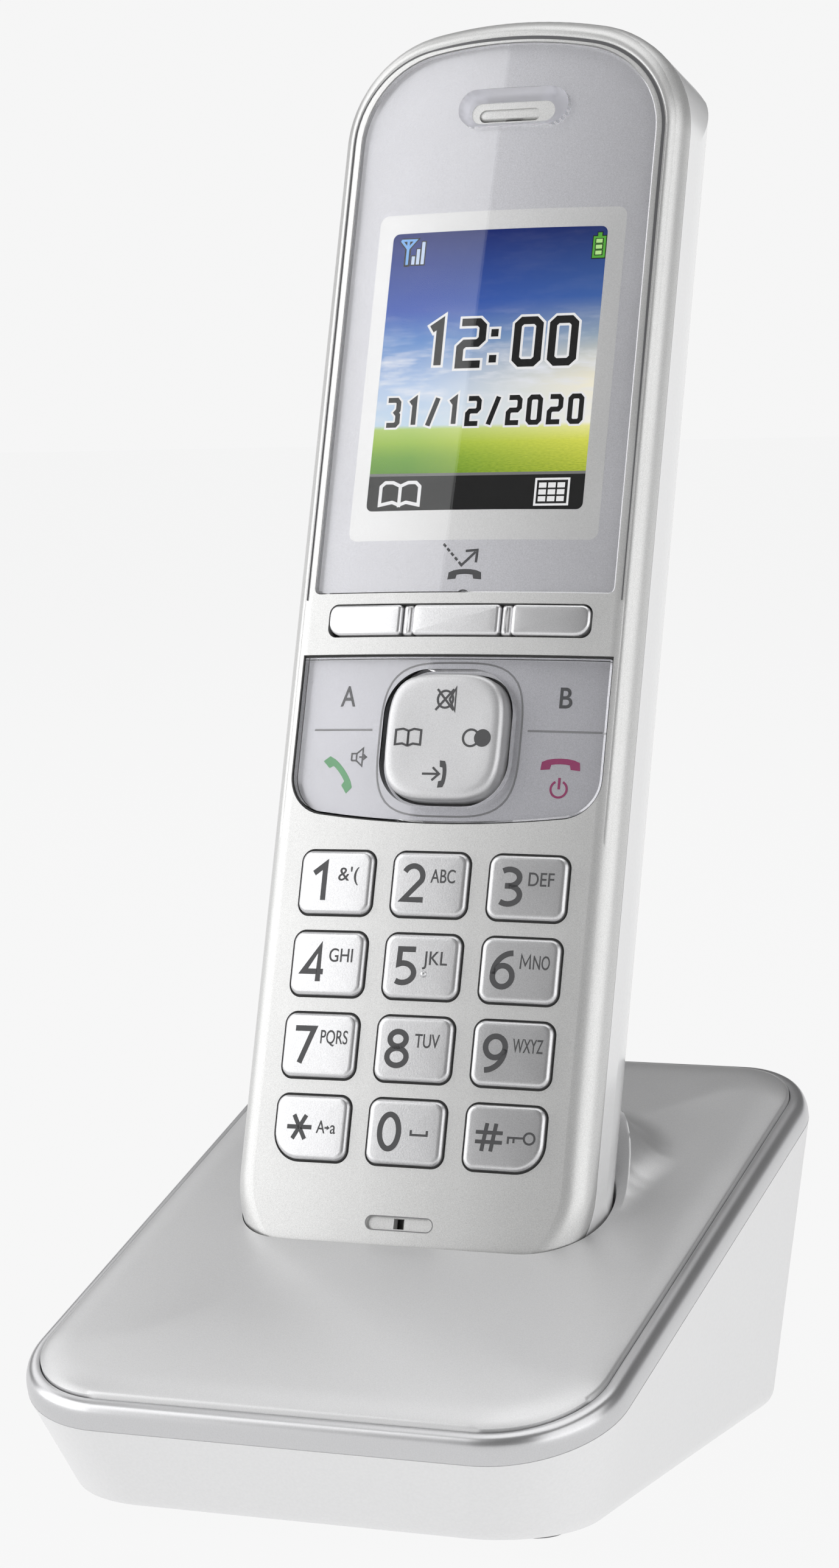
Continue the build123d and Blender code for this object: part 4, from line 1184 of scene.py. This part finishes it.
pairs = []
for k in range(ANGLES):
    angle = math.tau * k / ANGLES - math.pi
    pairs.append((by_angle(hole, angle), by_angle(outer, angle)))
rings = []
# pocket wall, from the floor up to the edge, as (drop, share by which it narrows)
for drop, grow in ((13.5, 0.011), (8.0, 0.007), (3.0, 0.0036), (1.0, 0.002), (0.45, 0.0012), (0.18, 0.0006)):
    rings.append([slope_of(on_face(x * (1 - grow), v - drop, -depth)) for (x, _, v, depth), _ in pairs])
for j in range(RADIALS + 1):
    eased = (j / RADIALS) ** 1.25
    ring = []
    for start, end in pairs:
        x = start[0] + (end[0] - start[0]) * eased
        s = start[1] + (end[1] - start[1]) * eased
        ring.append(cover_point(x, s))
    rings.append(ring)
# its edge, its underside and the outside of the pocket
for share in (1, UNDER_SHARE):
    rings.append([(x * share, s * share, UNDER_HEIGHT) for _, (x, s) in pairs])
for drop in (2.6, 14.0):
    ring = []
    for (x, s, v, depth), _ in pairs:
        away = Vector((x, depth - TAIL_DEEP / 2)).normalized() * CUP_WALL
        ring.append(slope_of(on_face(x + away.x, v - drop, -(depth + away.y))))
    rings.append(ring)
bm = bmesh.new()
fill_rings(bm, rings)
cover_piece = write_piece("top_cover_shell", bm, silver_cover, "base", "cover_silver", 60, on_slope)
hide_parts("base_top_cover")

# ---------------------------------------------------------------- trim ring
# its section, as (distance in from the outside, height over the seam)
RING_SECTION = (
    (0.05, 0.0), (0.0, 0.20), (0.0, 0.75), (0.05, 1.25), (0.16, 1.75), (0.34, 2.2), (0.58, 2.58),
    (0.88, 2.84), (1.20, 2.98), (1.55, 3.03), (1.86, 3.0), (1.94, 2.9), (1.95, 2.6), (1.95, 1.4), (4.6, 1.4),
    (4.6, 0.0),
)


def ring_points(inset):
    """The ring's outline, with points along its straight sides too."""
    corners = [r - inset for r in (10.5, 10.5, 13.5, 13.5)]
    arcs = rounded_points(RING_HALF - inset, RING_HALF_LONG - inset, corners, 20)
    points = []
    for k in range(4):
        points += arcs[21 * k:21 * k + 21]
        (x, s), (end_x, end_s) = points[-1], arcs[(21 * k + 21) % len(arcs)]
        points += [(x + (end_x - x) * i / 16, s + (end_s - s) * i / 16) for i in range(1, 16)]
    return points


rings = [[(x, s, height) for x, s in ring_points(inset)] for inset, height in RING_SECTION]
ring_piece = hoop("trim_ring_skin", rings, silver_ring, "base", "ring_silver", 38, on_slope)
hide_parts("base_trim_ring")

# ---------------------------------------------------------------- floor, light and camera
FLOOR = 30.0
pale, tree, shader = new_material("pale_floor")
set_sockets(shader, {
    "Base Color": (0.03, 0.03, 0.03, 1), "Roughness": 0.9, "Specular IOR Level": 0.0,
    "Emission Color": (1, 1, 1, 1), "Emission Strength": 0.905,
})
mesh = bpy.data.meshes.new("pale_floor")
mesh.from_pydata([(x, y, 0.0) for y in (-FLOOR, FLOOR) for x in (-FLOOR, FLOOR)], [], [(0, 1, 3, 2)])
mesh.materials.append(pale)
mesh.shade_smooth()
put_in_scene("pale_floor", mesh)


def soft_lamp(name, centre, target, size, radiance):
    """A soft rectangular lamp of a given brightness, facing a point."""
    data = bpy.data.lights.new(name, "AREA")
    data.shape = "RECTANGLE"
    data.size, data.size_y = size
    data.energy = radiance * math.pi * size[0] * size[1]
    lamp = put_in_scene(name, data)
    lamp.location = centre
    lamp.rotation_euler = (Vector(target) - Vector(centre)).to_track_quat("-Z", "Y").to_euler()
    lamp.visible_camera = False


# its right-hand edge is what the clear window mirrors down its middle
soft_lamp("left_softbox", (-0.9617, -0.5092, 0.80), (-0.1627, 0.0929, 0.80), (1.30, 1.40), 2.05)
soft_lamp("rear_left_softbox", (-1.15, 0.55, 1.05), (0, 0, 0.08), (0.9, 0.7), 1.5)
soft_lamp("overhead_softbox", (0.0, 0.15, 1.55), (0, 0.1, 0.08), (1.5, 1.4), 1.4)
soft_lamp("right_softbox", (1.35, -0.50, 0.60), (0, 0, 0.08), (1.8, 1.2), 1.35)

world = bpy.data.worlds.new("studio")
bpy.context.scene.world = world
world.use_nodes = True
sky_nodes = world.node_tree.nodes
sky_coords = sky_nodes.new("ShaderNodeTexCoord")
sky_split = sky_nodes.new("ShaderNodeSeparateXYZ")
link(sky_coords.outputs["Generated"], sky_split.inputs["Vector"])
# pale where it meets the floor, and dim overhead, so that the lamps shape the silver
sky_ramp = add_ramp(sky_nodes, sky_split.outputs["Z"], [(0.11, (0.92,) * 3), (0.17, (0.11,) * 3)])
link(sky_ramp.outputs["Color"], sky_nodes["Background"].inputs["Color"])
sky_nodes["Background"].inputs["Strength"].default_value = 1.0
bpy.context.scene.view_settings.view_transform = "Standard"

yaw, pitch, roll = math.radians(24.403), math.radians(4.913), math.radians(-1.204)
forward = Vector((-math.sin(yaw) * math.cos(pitch), math.cos(yaw) * math.cos(pitch), -math.sin(pitch)))
right = forward.cross(Vector((0, 0, 1))).normalized()
upward = right.cross(forward)
cam_right = right * math.cos(roll) + upward * math.sin(roll)
cam_up = -right * math.sin(roll) + upward * math.cos(roll)
camera_data = bpy.data.cameras.new("camera")
camera_data.sensor_width = 36.0
camera_data.lens = 93.465
camera_data.shift_x = 0.01622
camera_data.shift_y = -0.00227
camera_data.clip_start = 0.01
camera = put_in_scene("camera", camera_data)
camera.matrix_world = Matrix.Translation(Vector((0.19206, -0.43263, 0.12001))) @ Matrix(
    (cam_right, cam_up, -forward)
).transposed().to_4x4()
bpy.context.scene.camera = camera
